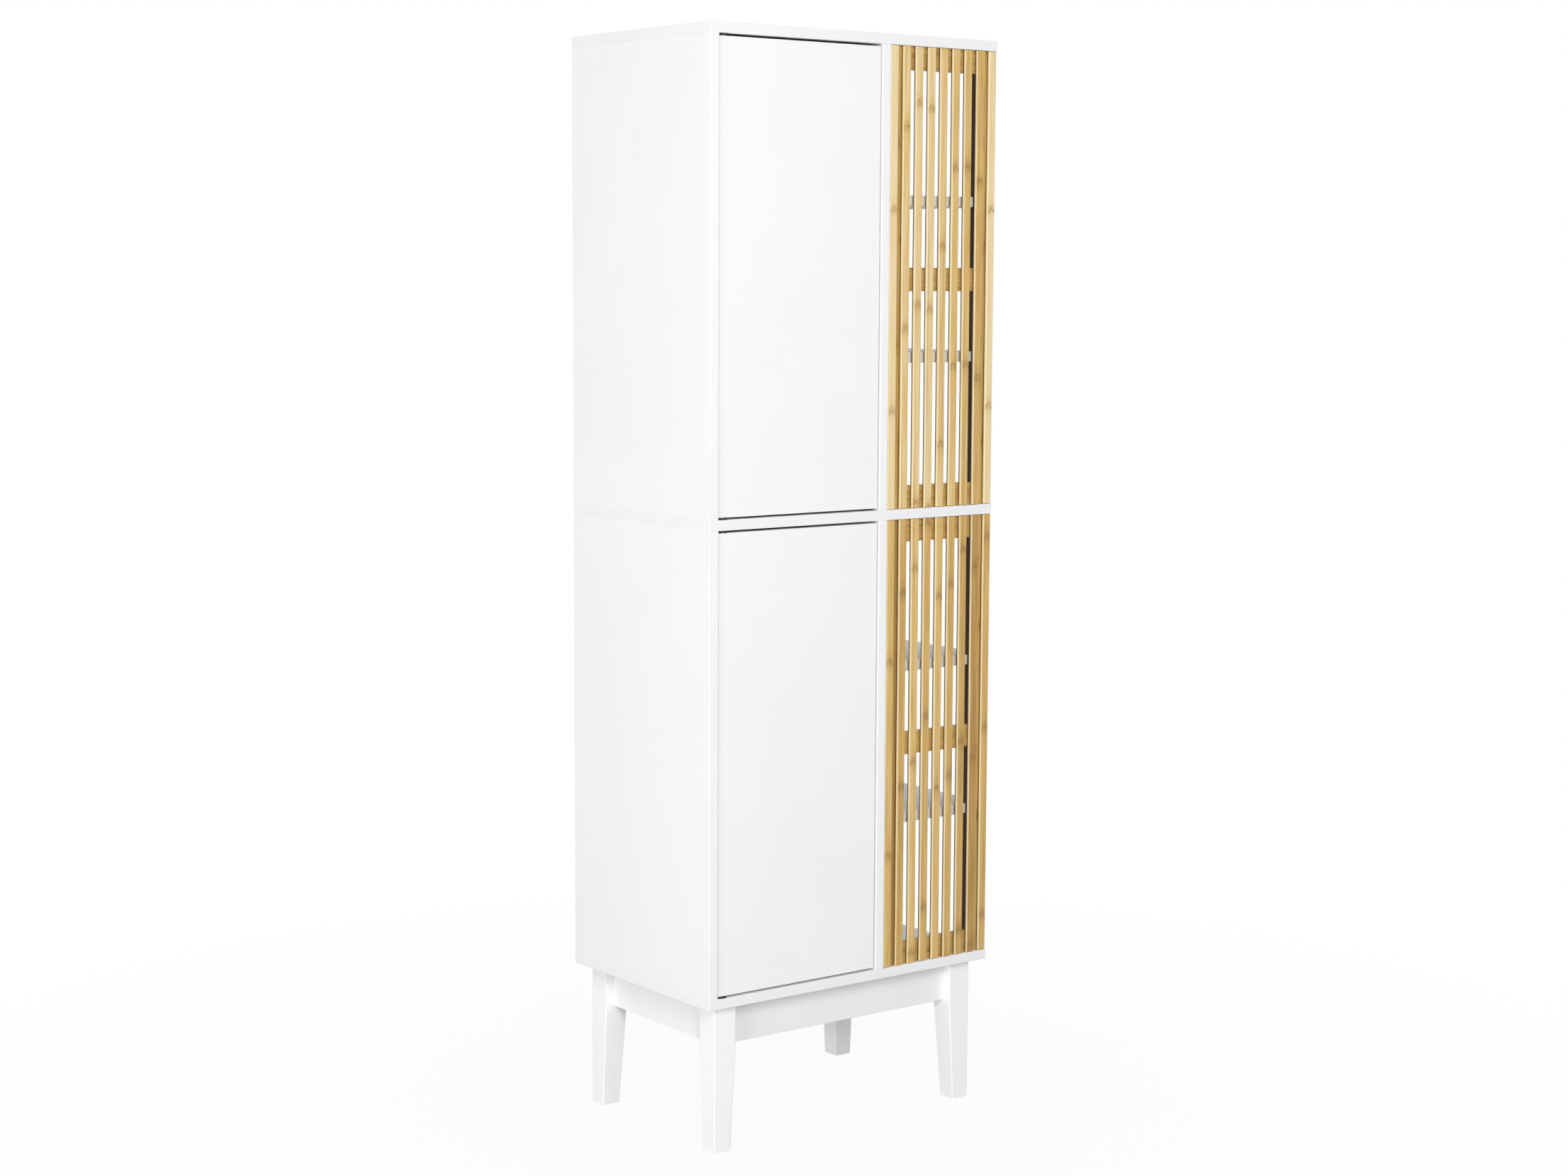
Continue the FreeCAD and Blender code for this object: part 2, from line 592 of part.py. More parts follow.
def make_leg(name, corner):
    """A leg, square down to the aprons' lower edge and then tapered on its two inner faces."""
    knee = BOTTOM_Z - APRON_HEIGHT
    square = Part.Face(leg_section(corner, LEG_TOP, knee)).extrude(Z * APRON_HEIGHT)
    sections = [leg_section(corner, LEG_FOOT, GLIDE_HEIGHT - GLIDE_SUNK), leg_section(corner, LEG_TOP, knee)]
    leg = square.fuse(Part.makeLoft(sections, True, True)).removeSplitter()
    mortises = [apron_tongue(side, FIT) for side in ("front", "back", "left", "right")]
    middle = from_corner(corner, LEG_FOOT / 2, LEG_FOOT / 2, 0)
    pocket = rod(GLIDE_DIAMETER + 2 * FIT, middle, Z, GLIDE_HEIGHT)
    nail = rod(GLIDE_NAIL_DIAMETER + 2 * FIT, middle, Z, GLIDE_HEIGHT + GLIDE_NAIL_LENGTH + END_ROOM)
    save("leg_" + name, [cut(leg, mortises + [leg_bolt(corner, FIT), pocket, nail])])


def make_base():
    """Four tapered legs joined by tenoned aprons, with a bolted brace in each corner."""
    corners = leg_corners()
    for name, corner in corners.items():
        make_leg(name, corner)
    for side in ("front", "back", "left", "right"):
        rail = apron(side, APRON_SETBACK, APRON_SETBACK + APRON_THICKNESS, LEG_TOP, BOTTOM_Z - APRON_HEIGHT,
                     BOTTOM_Z)
        save("apron_" + side, [rail.fuse(apron_tongue(side, 0)).removeSplitter()])
    screws = base_screws(FIT, END_ROOM)
    save("corner_braces", [cut(brace(corner), screws + [leg_bolt(corner, FIT)]) for corner in corners.values()])
    save("leg_bolts", [leg_bolt(corner, 0) for corner in corners.values()])
    save("leg_nuts", [leg_nut(corner) for corner in corners.values()])
    save("base_screws", base_screws(0, 0))
    save("foot_glides", [foot_glide(corner) for corner in corners.values()])


def main():
    os.makedirs("parts", exist_ok=True)
    make_body()
    make_shelves()
    make_bushes()
    for storey, floor in STOREYS.items():
        make_screen(storey, floor)
        make_door(storey, floor)
        make_latch(storey, floor)
    make_base()
    make_brackets()


main()
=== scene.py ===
"""Looks of a tall bathroom cabinet: white lacquered boards and doors, bamboo screens and fittings.

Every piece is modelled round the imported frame, in metres, with +Z up and the front towards -Y.
"""
import json
import math
import random

import bmesh
import bpy
from bpy.props import FloatProperty, FloatVectorProperty, IntProperty, PointerProperty
from mathutils import Matrix, Vector


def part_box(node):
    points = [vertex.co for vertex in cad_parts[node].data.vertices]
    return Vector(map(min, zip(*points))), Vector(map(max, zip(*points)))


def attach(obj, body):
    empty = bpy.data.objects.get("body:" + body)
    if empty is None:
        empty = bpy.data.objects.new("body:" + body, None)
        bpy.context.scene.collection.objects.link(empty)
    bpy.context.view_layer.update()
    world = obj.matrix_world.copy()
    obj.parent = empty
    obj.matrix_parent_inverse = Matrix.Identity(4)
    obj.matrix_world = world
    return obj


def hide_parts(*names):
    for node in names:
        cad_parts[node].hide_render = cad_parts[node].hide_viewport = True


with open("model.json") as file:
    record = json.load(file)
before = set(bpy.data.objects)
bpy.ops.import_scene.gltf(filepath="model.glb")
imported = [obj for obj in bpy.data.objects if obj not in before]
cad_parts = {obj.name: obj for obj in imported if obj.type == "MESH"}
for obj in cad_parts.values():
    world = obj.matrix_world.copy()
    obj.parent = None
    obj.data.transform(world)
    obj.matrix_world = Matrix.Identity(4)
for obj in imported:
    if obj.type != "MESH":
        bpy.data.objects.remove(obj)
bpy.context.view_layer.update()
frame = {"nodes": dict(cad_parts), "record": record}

bl_info = {
    "name": "Bathroom cabinet",
    "version": (1, 0, 0),
    "blender": (4, 5, 0),
    "location": "View3D > Sidebar > Cabinet",
    "description": "Models and finishes a tall bathroom cabinet with bamboo screens",
    "category": "Object",
}

MM = 0.001
UP = Vector((0, 0, 1))
DOWN = Vector((0, 0, -1))
LEFT = Vector((-1, 0, 0))
BACK = Vector((0, 1, 0))
STOREYS = ("lower", "upper")
MIDDLE_HEIGHT = sum(corner.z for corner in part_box("middle_board")) / 2

# Corners sharper than these stay sharp when a piece is shaded smoothly
BLOCK_CORNER = math.radians(50)
TURNED_CORNER = math.radians(35)


# Settings that a user would change

class LacquerSettings(bpy.types.PropertyGroup):
    """White lacquer on the boards, the doors and the base"""

    board_colour: FloatVectorProperty(
        name="Board colour", description="Lacquer on the top, middle and bottom boards",
        subtype="COLOR", min=0, max=1, default=(0.885, 0.885, 0.898))
    side_colour: FloatVectorProperty(
        name="Side colour", description="Lacquer on the sides, the dividers and the shelves",
        subtype="COLOR", min=0, max=1, default=(0.9, 0.905, 0.91))
    door_colour: FloatVectorProperty(
        name="Door colour", description="Lacquer on the doors",
        subtype="COLOR", min=0, max=1, default=(0.9, 0.91, 0.922))
    # Painted light: the legs and the side aprons get a lighter white than the rest of the lacquer, standing
    # in for light
    painted_light_base_colour: FloatVectorProperty(
        name="Base colour", description="Lacquer on the legs and the aprons",
        subtype="COLOR", min=0, max=1, default=(0.955, 0.957, 0.962))
    back_colour: FloatVectorProperty(
        name="Back colour", description="Film on the hardboard back panels",
        subtype="COLOR", min=0, max=1, default=(0.86, 0.865, 0.87))
    roughness: FloatProperty(
        name="Roughness", description="How dull the lacquer is",
        subtype="FACTOR", min=0, max=1, default=0.5)


class BambooSettings(bpy.types.PropertyGroup):
    """Bamboo of the slats and of the frames behind them"""

    pale_colour: FloatVectorProperty(
        name="Pale colour", description="The lightest strips",
        subtype="COLOR", min=0, max=1, default=(0.835, 0.675, 0.39))
    golden_colour: FloatVectorProperty(
        name="Golden colour", description="Most of the strips",
        subtype="COLOR", min=0, max=1, default=(0.67, 0.44, 0.14))
    deep_colour: FloatVectorProperty(
        name="Deep colour", description="The darkest strips",
        subtype="COLOR", min=0, max=1, default=(0.40, 0.225, 0.05))
    joint_colour: FloatVectorProperty(
        name="Joint colour", description="Flecks at the joints of the cane",
        subtype="COLOR", min=0, max=1, default=(0.24, 0.11, 0.03))
    joint_spacing: FloatProperty(
        name="Joint spacing", description="Distance between two joints of the cane",
        unit="LENGTH", min=0.05, max=1, default=0.29)
    heart_colour: FloatVectorProperty(
        name="Heart colour", description="Reddish streaks along the strips",
        subtype="COLOR", min=0, max=1, default=(0.34, 0.15, 0.05))
    # Painted light: the front part of each slat's side is painted paler, as the key lamp would light it
    painted_light_colour: FloatVectorProperty(
        name="Edge colour", description="Sanded arrises of the slats",
        subtype="COLOR", min=0, max=1, default=(0.97, 0.84, 0.56))
    # Painted shade: the rear part of each slat's side is painted dark, where the neighbouring slat would
    # shade it
    side_colour: FloatVectorProperty(
        name="Side colour", description="Rear halves of the slats' sides",
        subtype="COLOR", min=0, max=1, default=(0.045, 0.022, 0.006))
    roughness: FloatProperty(
        name="Roughness", description="How dull the varnish is",
        subtype="FACTOR", min=0, max=1, default=0.4)


class EdgeSettings(bpy.types.PropertyGroup):
    """How far the edges of the pieces are rounded"""

    door: FloatProperty(
        name="Door edge", description="Radius of a door's edges",
        unit="LENGTH", min=0.0002, max=0.005, default=0.001)
    shelf: FloatProperty(
        name="Shelf edge", description="Radius of a loose shelf's edges",
        unit="LENGTH", min=0.0002, max=0.005, default=0.0008)
    slat: FloatProperty(
        name="Slat edge", description="Radius of a slat's edges",
        unit="LENGTH", min=0.0002, max=0.003, default=0.0009)
    leg: FloatProperty(
        name="Leg edge", description="Radius of a leg's edges",
        unit="LENGTH", min=0.0002, max=0.005, default=0.0015)
    segments: IntProperty(
        name="Segments", description="Faces across a rounded edge",
        min=1, max=6, default=3)


class FittingSettings(bpy.types.PropertyGroup):
    """Metal and plastic fittings"""

    steel_colour: FloatVectorProperty(
        name="Steel colour", description="Zinc-plated steel",
        subtype="COLOR", min=0, max=1, default=(0.60, 0.61, 0.63))
    nylon_colour: FloatVectorProperty(
        name="Nylon colour", description="Latches and glides",
        subtype="COLOR", min=0, max=1, default=(0.68, 0.69, 0.70))
    bush_colour: FloatVectorProperty(
        name="Bush colour", description="Nylon of the bushes that the door pins turn in",
        subtype="COLOR", min=0, max=1, default=(0.012, 0.012, 0.013))
    tip_colour: FloatVectorProperty(
        name="Tip colour", description="Tips of the latch plungers",
        subtype="COLOR", min=0, max=1, default=(0.10, 0.10, 0.11))
    timber_colour: FloatVectorProperty(
        name="Timber colour", description="Bare softwood braces and dowels",
        subtype="COLOR", min=0, max=1, default=(0.66, 0.46, 0.26))
    nail_spacing: FloatProperty(
        name="Nail spacing", description="Distance between the nails of a back panel",
        unit="LENGTH", min=0.03, max=0.5, default=0.11)


class StudioSettings(bpy.types.PropertyGroup):
    """Light and camera of the studio"""

    sky: FloatProperty(
        name="Sky", description="Mean strength of the soft light from all round",
        min=0, max=5, default=0.47)
    key_power: FloatProperty(
        name="Key power", description="Power of the soft lamp on the left",
        unit="POWER", min=0, max=1000, default=72)
    fill_power: FloatProperty(
        name="Fill power", description="Power of the soft lamp in front",
        unit="POWER", min=0, max=1000, default=143)
    floor_colour: FloatVectorProperty(
        name="Floor colour", description="The floor under the white of the surround",
        subtype="COLOR", min=0, max=1, default=(0.55, 0.55, 0.55))
    lens: FloatProperty(
        name="Lens", description="Focal length of the camera in millimetres",
        unit="CAMERA", min=10, max=300, default=63.1)


# Modelling

def clear_selection():
    """Leaves nothing selected."""
    bpy.ops.object.select_all(action="DESELECT")


def named(name):
    """Gives the active object and its mesh this name."""
    piece = bpy.context.object
    piece.name = name
    piece.data.name = name
    return piece


def add_block(name, low, high):
    """A block between two corners, with its place kept in its mesh."""
    clear_selection()
    bpy.ops.mesh.primitive_cube_add(size=1, location=(low + high) / 2, scale=high - low)
    bpy.ops.object.transform_apply(location=True, rotation=True, scale=True)
    return named(name)


def activate(piece):
    """Makes one piece the selected and active one."""
    clear_selection()
    piece.select_set(True)
    bpy.context.view_layer.objects.active = piece


def delete(piece):
    """Removes a piece."""
    activate(piece)
    bpy.ops.object.delete()


def joined(pieces, name):
    """Several pieces made into one."""
    activate(pieces[0])
    for piece in pieces[1:]:
        piece.select_set(True)
    bpy.ops.object.join()
    return named(name)


def select_edges(piece, test):
    """Selects the edges of a piece in edit mode whose two ends pass the test."""
    bpy.ops.mesh.select_mode(type="EDGE")
    bpy.ops.mesh.select_all(action="DESELECT")
    mesh = bmesh.from_edit_mesh(piece.data)
    for edge in mesh.edges:
        edge.select_set(test(edge.verts[0].co, edge.verts[1].co))
    bmesh.update_edit_mesh(piece.data)


def select_faces(piece, test):
    """Selects the faces of a piece in edit mode whose middle and normal pass the test."""
    bpy.ops.mesh.select_mode(type="FACE")
    bpy.ops.mesh.select_all(action="DESELECT")
    mesh = bmesh.from_edit_mesh(piece.data)
    mesh.normal_update()
    for face in mesh.faces:
        face.select_set(test(face.calc_center_median(), face.normal))
    bmesh.update_edit_mesh(piece.data)


def any_edge(start, end):
    """Passes every edge."""
    return True


def upright_edge(start, end):
    """Passes the edges that run up the piece."""
    return abs(start.z - end.z) > max(abs(start.x - end.x), abs(start.y - end.y))


def round_edges(piece, radius, segments, test=any_edge):
    """Rounds the edges that pass the test."""
    activate(piece)
    bpy.ops.object.mode_set(mode="EDIT")
    select_edges(piece, test)
    bpy.ops.mesh.bevel(offset=radius, segments=segments, affect="EDGES")
    bpy.ops.object.mode_set(mode="OBJECT")


def smooth(piece):
    """Shades rounded edges smoothly, and keeps the large faces flat and the other corners sharp."""
    activate(piece)
    bpy.ops.object.shade_smooth_by_angle(angle=BLOCK_CORNER)
    bpy.ops.object.modifier_add(type="WEIGHTED_NORMAL")
    modifier = piece.modifiers[-1]
    modifier.keep_sharp = True
    bpy.ops.object.modifier_apply(modifier=modifier.name)


def rounded_block(name, low, high, radius, segments):
    """A block with every edge rounded."""
    piece = add_block(name, low, high)
    round_edges(piece, radius, segments)
    smooth(piece)
    return piece


def turned(name, rings, sides):
    """A round solid about the Z axis, drawn out from a disc ring by ring.

    A ring is a radius and a height."""
    clear_selection()
    radius, height = rings[0]
    bpy.ops.mesh.primitive_circle_add(
        vertices=sides, radius=radius, fill_type="NGON", location=(0, 0, height))
    bpy.ops.object.transform_apply(location=True, rotation=True, scale=True)
    piece = named(name)
    bpy.ops.object.mode_set(mode="EDIT")
    bpy.ops.mesh.select_all(action="SELECT")
    for next_radius, next_height in rings[1:]:
        bpy.ops.mesh.extrude_region_move(TRANSFORM_OT_translate={"value": (0, 0, next_height - height)})
        growth = next_radius / radius
        bpy.ops.transform.resize(value=(growth, growth, 1), center_override=(0, 0, next_height))
        radius, height = next_radius, next_height
    bpy.ops.mesh.select_all(action="SELECT")
    bpy.ops.mesh.normals_make_consistent(inside=False)
    bpy.ops.object.mode_set(mode="OBJECT")
    bpy.ops.object.shade_smooth_by_angle(angle=TURNED_CORNER)
    return piece


def cut_out(piece, cutter):
    """Cuts one piece out of another and removes the cutter."""
    activate(piece)
    bpy.ops.object.modifier_add(type="BOOLEAN")
    modifier = piece.modifiers[-1]
    modifier.operation = "DIFFERENCE"
    modifier.solver = "EXACT"
    modifier.object = cutter
    bpy.ops.object.modifier_apply(modifier=modifier.name)
    delete(cutter)


def cross_recess(screw, span, slot, depth):
    """Cuts a cross recess into the top of a screw that stands on the Z axis with its head up."""
    top = UP * max(vertex.co.z for vertex in screw.data.vertices)
    for x, y in ((span, slot), (slot, span)):
        half = Vector((x / 2, y / 2, depth))
        cut_out(screw, add_block("recess", top - half, top + half))


def copy_of(piece, name):
    """A copy of a piece with its own mesh."""
    activate(piece)
    bpy.ops.object.duplicate()
    return named(name)


def move_into_place(piece, place, direction=UP):
    """Turns a piece's Z axis to a direction, moves it, and keeps the place in its mesh."""
    turn = UP.rotation_difference(direction).to_matrix().to_4x4()
    piece.matrix_world = Matrix.Translation(place) @ turn
    activate(piece)
    bpy.ops.object.transform_apply(location=True, rotation=True, scale=True)


def copies_at(pattern, name, places, direction):
    """Copies of a pattern at several places, all turned one way, as one piece; the pattern is used up."""
    copies = []
    for place in places:
        copy = copy_of(pattern, name)
        move_into_place(copy, place, direction)
        copies.append(copy)
    delete(pattern)
    return joined(copies, name)


def fit(piece, body, slot, finish, *nodes):
    """Gives a piece its finish and its body, and hides the frame's nodes that it stands for."""
    piece.data.materials.clear()
    piece.data.materials.append(finish)
    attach(piece, body)
    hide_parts(*nodes)


def tint(piece, tone):
    """Marks how deep a bamboo piece's tone is, from 0 for pale to 1 for deep."""
    attribute = piece.data.attributes.new("tone", "FLOAT", "POINT")
    attribute.data.foreach_set("value", [tone] * len(piece.data.vertices))


def paint(finish, *nodes):
    """Gives nodes of the frame that stay in sight a better finish."""
    for node in nodes:
        materials = frame["nodes"][node].data.materials
        materials.clear()
        materials.append(finish)


# Finishes

class Finish:
    """A material whose nodes are added and joined one by one, on Object coordinates."""

    def __init__(self, name):
        self.material = bpy.data.materials.new(name)
        self.material.use_nodes = True
        self.tree = self.material.node_tree
        self.shader = self.tree.nodes["Principled BSDF"]
        self.place = self.tree.nodes.new("ShaderNodeTexCoord").outputs["Object"]

    def feed(self, value, socket):
        """Joins an output to a socket, or sets the socket to a number or colour."""
        if isinstance(value, bpy.types.NodeSocket):
            self.tree.links.new(value, socket)
        elif socket.type == "RGBA":
            socket.default_value = (*value[:3], 1)
        else:
            socket.default_value = value

    def math(self, operation, first, second=0.0):
        """Works out one step of arithmetic."""
        node = self.tree.nodes.new("ShaderNodeMath")
        node.operation = operation
        self.feed(first, node.inputs[0])
        self.feed(second, node.inputs[1])
        return node.outputs[0]

    def total(self, first, second):
        """Two values added."""
        return self.math("ADD", first, second)

    def product(self, first, *others):
        """Several values multiplied."""
        for other in others:
            first = self.math("MULTIPLY", first, other)
        return first

    def spread(self, value, low, high, new_low, new_high):
        """Maps one range of values to another, without going past its ends."""
        node = self.tree.nodes.new("ShaderNodeMapRange")
        for socket, number in zip(node.inputs, (value, low, high, new_low, new_high)):
            self.feed(number, socket)
        return node.outputs[0]

    def parts(self):
        """The three Object coordinates."""
        node = self.tree.nodes.new("ShaderNodeSeparateXYZ")
        self.feed(self.place, node.inputs[0])
        return node.outputs

    def point(self, x, y, z):
        """A point from three values."""
        node = self.tree.nodes.new("ShaderNodeCombineXYZ")
        for socket, value in zip(node.inputs, (x, y, z)):
            self.feed(value, socket)
        return node.outputs[0]

    def noise(self, point, scale, detail=2.0, roughness=0.5):
        """Soft noise at a scale, from 0 to 1."""
        node = self.tree.nodes.new("ShaderNodeTexNoise")
        self.feed(point, node.inputs["Vector"])
        self.feed(scale, node.inputs["Scale"])
        self.feed(detail, node.inputs["Detail"])
        self.feed(roughness, node.inputs["Roughness"])
        return node.outputs[0]

    def patches(self, noise):
        """Noise with more contrast, from 0 to 1."""
        return self.spread(noise, 0.35, 0.65, 0, 1)

    def wander(self, noise, low, high):
        """A number that goes between two ends with the noise."""
        return self.spread(noise, 0.3, 0.7, low, high)

    def chance(self, point):
        """An even random value for each point that is given."""
        node = self.tree.nodes.new("ShaderNodeTexWhiteNoise")
        node.noise_dimensions = "3D"
        self.feed(point, node.inputs["Vector"])
        return node.outputs["Value"]

    def attribute(self, name):
        """A value that a piece carries on its mesh."""
        node = self.tree.nodes.new("ShaderNodeAttribute")
        node.attribute_name = name
        return node.outputs["Fac"]

    def normal(self):
        """The three parts of the surface's direction."""
        geometry = self.tree.nodes.new("ShaderNodeNewGeometry")
        node = self.tree.nodes.new("ShaderNodeSeparateXYZ")
        self.feed(geometry.outputs["Normal"], node.inputs[0])
        return node.outputs

    def mix(self, share, first, second):
        """A colour between two colours."""
        node = self.tree.nodes.new("ShaderNodeMix")
        node.data_type = "RGBA"
        colours = [socket for socket in node.inputs if socket.type == "RGBA"]
        self.feed(share, node.inputs[0])
        self.feed(first, colours[0])
        self.feed(second, colours[1])
        return next(socket for socket in node.outputs if socket.type == "RGBA")

    def bump(self, height, strength, distance):
        """Raises the surface by a pattern."""
        node = self.tree.nodes.new("ShaderNodeBump")
        self.feed(strength, node.inputs["Strength"])
        self.feed(distance, node.inputs["Distance"])
        self.feed(height, node.inputs["Height"])
        self.feed(node.outputs[0], self.shader.inputs["Normal"])

    def set(self, **values):
        """Sets or joins inputs of the shader; an underscore in a name stands for a space."""
        for name, value in values.items():
            self.feed(value, self.shader.inputs[name.replace("_", " ")])


def shade(colour, share):
    """A colour made lighter or darker."""
    return tuple(min(1.0, part * share) for part in colour)


def lacquer(name, colour, roughness):
    """Sprayed satin lacquer: an even white with a faint cloud in it and a fine orange peel."""
    finish = Finish(name)
    cloud = finish.patches(finish.noise(finish.place, 7.0))
    handled = finish.noise(finish.place, 38.0, 4.0, 0.6)
    peel = finish.noise(finish.place, 620.0, 1.0)
    finish.set(
        Base_Color=finish.mix(cloud, shade(colour, 0.985), colour),
        Roughness=finish.wander(handled, roughness - 0.05, roughness + 0.06),
        Specular_IOR_Level=0.45,
        Coat_Weight=0.05,
        Coat_Roughness=0.35,
    )
    finish.bump(peel, 0.05, 0.2 * MM)
    return finish.material


def hardboard(name, colour):
    """Printed film on hardboard: a dull white over a fine pressed grain."""
    finish = Finish(name)
    x, y, z = finish.parts()
    grain = finish.noise(finish.point(finish.product(x, 9.0), y, z), 140.0, 4.0, 0.6)
    cloud = finish.noise(finish.place, 5.0, 3.0)
    tone = finish.total(finish.product(grain, 0.5), finish.product(cloud, 0.5))
    finish.set(
        Base_Color=finish.mix(finish.patches(tone), shade(colour, 0.965), colour),
        Roughness=finish.wander(grain, 0.48, 0.62),
    )
    finish.bump(grain, 0.1, 0.1 * MM)
    return finish.material


# How far a face of the bamboo turns aside before it counts as a side, and how strongly a side gets its
# painted light and painted shade
TURNED_ASIDE = (0.35, 0.8)
PAINTED_LIGHT_COVER = 0.8
PAINTED_SHADE_COVER = 0.95

# Behind its front, where the painted light on a slat's side starts to fade and where it ends; painted shade
# lies behind it, where the neighbouring slat would shade the side
LIT_DEPTH = (3.4 * MM, 4.2 * MM)


def bamboo(name, settings, strip, first, level=False, front=None, shaded_left=False):
    """Varnished bamboo in strips: each strip has its own tone, long fibres and flecked joints of the cane.

    The tone comes from the pieces' own attribute. Slats, which have a front, get painted light on the front
    part of their sides and painted shade on the rear part; a piece marked as shaded on its left gets painted
    shade on its left face."""
    finish = Finish(name)
    x, y, z = finish.parts()
    along, across = (x, z) if level else (z, x)
    number = finish.math("DIVIDE", finish.math("SUBTRACT", across, first), strip)
    storey = finish.math("FLOOR", finish.math("DIVIDE", z, MIDDLE_HEIGHT))
    index = finish.math("FLOOR", number)
    own = finish.chance(finish.point(index, storey, 0.0))
    other = finish.chance(finish.point(index, storey, 7.0))
    shifted = finish.total(along, finish.product(own, 40.0))

    def fibres(width, length, detail):
        """Noise drawn out along the strip, as wide and as long as given in millimetres."""
        cells = [finish.product(part, 1 / (width * MM)) for part in (across, y)]
        drawn_out = finish.product(shifted, 1 / (length * MM))
        return finish.noise(finish.point(*cells, drawn_out), 1.0, detail)

    broad = fibres(7.0, 130.0, 2.0)
    fine = fibres(1.1, 110.0, 3.0)
    hair = fibres(0.4, 30.0, 2.0)
    heart = finish.spread(fibres(3.0, 300.0, 1.0), 0.62, 0.74, 0, 0.45)
    ticks = finish.spread(fibres(1.0, 3.2, 2.0), 0.44, 0.62, 0, 1)

    # The joints: where they fall along the strip, a shallow V across it, and the ticks inside
    spacing = settings.joint_spacing
    offset = finish.product(other, spacing)
    side = finish.math("ABSOLUTE", finish.math("SUBTRACT", finish.math("FRACT", number), 0.5))
    drawn = finish.total(finish.total(along, offset), finish.product(side, 12 * MM))
    turns = finish.math("FRACT", finish.math("DIVIDE", drawn, spacing))
    away = finish.product(finish.math("ABSOLUTE", finish.math("SUBTRACT", turns, 0.5)), spacing)
    core = finish.spread(away, 2.0 * MM, 8.5 * MM, 1, 0)
    halo = finish.spread(away, 0.0, 22 * MM, 0.2, 0)

    tone = finish.total(finish.attribute("tone"), finish.product(own, 0.12))
    for pattern, share in ((broad, 0.6), (fine, 0.8), (hair, 0.5)):
        tone = finish.total(tone, finish.product(finish.math("SUBTRACT", pattern, 0.5), share))
    tone = finish.total(tone, halo)
    colour = finish.mix(finish.spread(tone, 0, 0.5, 0, 1), settings.pale_colour, settings.golden_colour)
    colour = finish.mix(finish.spread(tone, 0.5, 1, 0, 1), colour, settings.deep_colour)
    colour = finish.mix(heart, colour, settings.heart_colour)
    colour = finish.mix(finish.product(core, ticks, 0.85), colour, settings.joint_colour)
    # Painted light on the front part of a slat's side and painted shade on its rear part, as the key lamp
    # and the neighbouring slat would give them
    if front is not None:
        aside = finish.spread(finish.math("ABSOLUTE", finish.normal()[0]), *TURNED_ASIDE, 0, 1)
        near = finish.spread(y, *[front + depth for depth in LIT_DEPTH], 1, 0)
        far = finish.math("SUBTRACT", 1.0, near)
        colour = finish.mix(finish.product(aside, near, PAINTED_LIGHT_COVER), colour, settings.painted_light_colour)
        colour = finish.mix(finish.product(aside, far, PAINTED_SHADE_COVER), colour, settings.side_colour)
    # Painted shade on the left face, which lies deep in shade behind the slats
    if shaded_left:
        leftwards = finish.product(finish.normal()[0], -1.0)
        left = finish.spread(leftwards, *TURNED_ASIDE, 0, PAINTED_SHADE_COVER)
        colour = finish.mix(left, colour, settings.side_colour)
    finish.set(
        Base_Color=colour,
        Roughness=finish.wander(fine, settings.roughness - 0.06, settings.roughness + 0.08),
        Coat_Weight=0.15,
        Coat_Roughness=0.22,
    )
    finish.bump(finish.total(fine, hair), 0.12, 0.15 * MM)
    return finish.material


def timber(name, colour):
    """Bare softwood: pale and dark growth lines with a rough sawn surface."""
    finish = Finish(name)
    x, y, z = finish.parts()
    drawn = finish.point(finish.product(x, 60.0), finish.product(y, 60.0), finish.product(z, 420.0))
    rings = finish.noise(drawn, 1.0, 3.0, 0.6)
    dark = finish.spread(rings, 0.35, 0.68, 0, 1)
    saw = finish.noise(finish.place, 900.0, 2.0)
    finish.set(
        Base_Color=finish.mix(dark, shade(colour, 1.22), shade(colour, 0.72)),
        Roughness=finish.wander(saw, 0.6, 0.8),
    )
    finish.bump(finish.total(rings, saw), 0.25, 0.2 * MM)
    return finish.material


def steel(name, colour):
    """Zinc-plated steel with a mottled bloom and fine scratches."""
    finish = Finish(name)
    x, y, z = finish.parts()
    bloom = finish.noise(finish.place, 260.0, 3.0, 0.6)
    scratch = finish.noise(finish.point(finish.product(x, 8.0), y, z), 900.0, 2.0)
    finish.set(
        Base_Color=finish.mix(finish.patches(bloom), shade(colour, 0.8), shade(colour, 1.1)),
        Metallic=1.0,
        Roughness=finish.wander(scratch, 0.24, 0.42),
    )
    finish.bump(scratch, 0.06, 0.05 * MM)
    return finish.material


def moulded(name, colour, roughness):
    """Moulded plastic with a faint flow pattern and a spark-eroded skin."""
    finish = Finish(name)
    flow = finish.noise(finish.place, 90.0, 3.0)
    skin = finish.noise(finish.place, 2600.0, 2.0)
    finish.set(
        Base_Color=finish.mix(finish.patches(flow), shade(colour, 0.93), shade(colour, 1.04)),
        Roughness=finish.wander(skin, roughness - 0.07, roughness + 0.07),
    )
    finish.bump(skin, 0.12, 0.05 * MM)
    return finish.material


# Pieces

def storey_nodes(*names):
    """The names of both storeys' pieces."""
    return [name + "_" + storey for name in names for storey in STOREYS]


def shelf_nodes(side):
    """The names of the four shelves on one side."""
    return [storey + "_" + side + "_shelf_" + place for storey in STOREYS for place in ("low", "high")]


class CABINET_OT_finish_body(bpy.types.Operator):
    """Lacquers the boards, the sides, the dividers and the fixed shelves"""

    bl_idname = "cabinet.finish_body"
    bl_label = "Finish body"

    def execute(self, context):
        settings = context.scene.cabinet_lacquer
        paint(lacquer("board_lacquer", settings.board_colour, settings.roughness),
              "top_board", "middle_board", "bottom_board")
        paint(lacquer("side_lacquer", settings.side_colour, settings.roughness),
              *storey_nodes("left_side", "divider"), *shelf_nodes("right"))
        return {"FINISHED"}


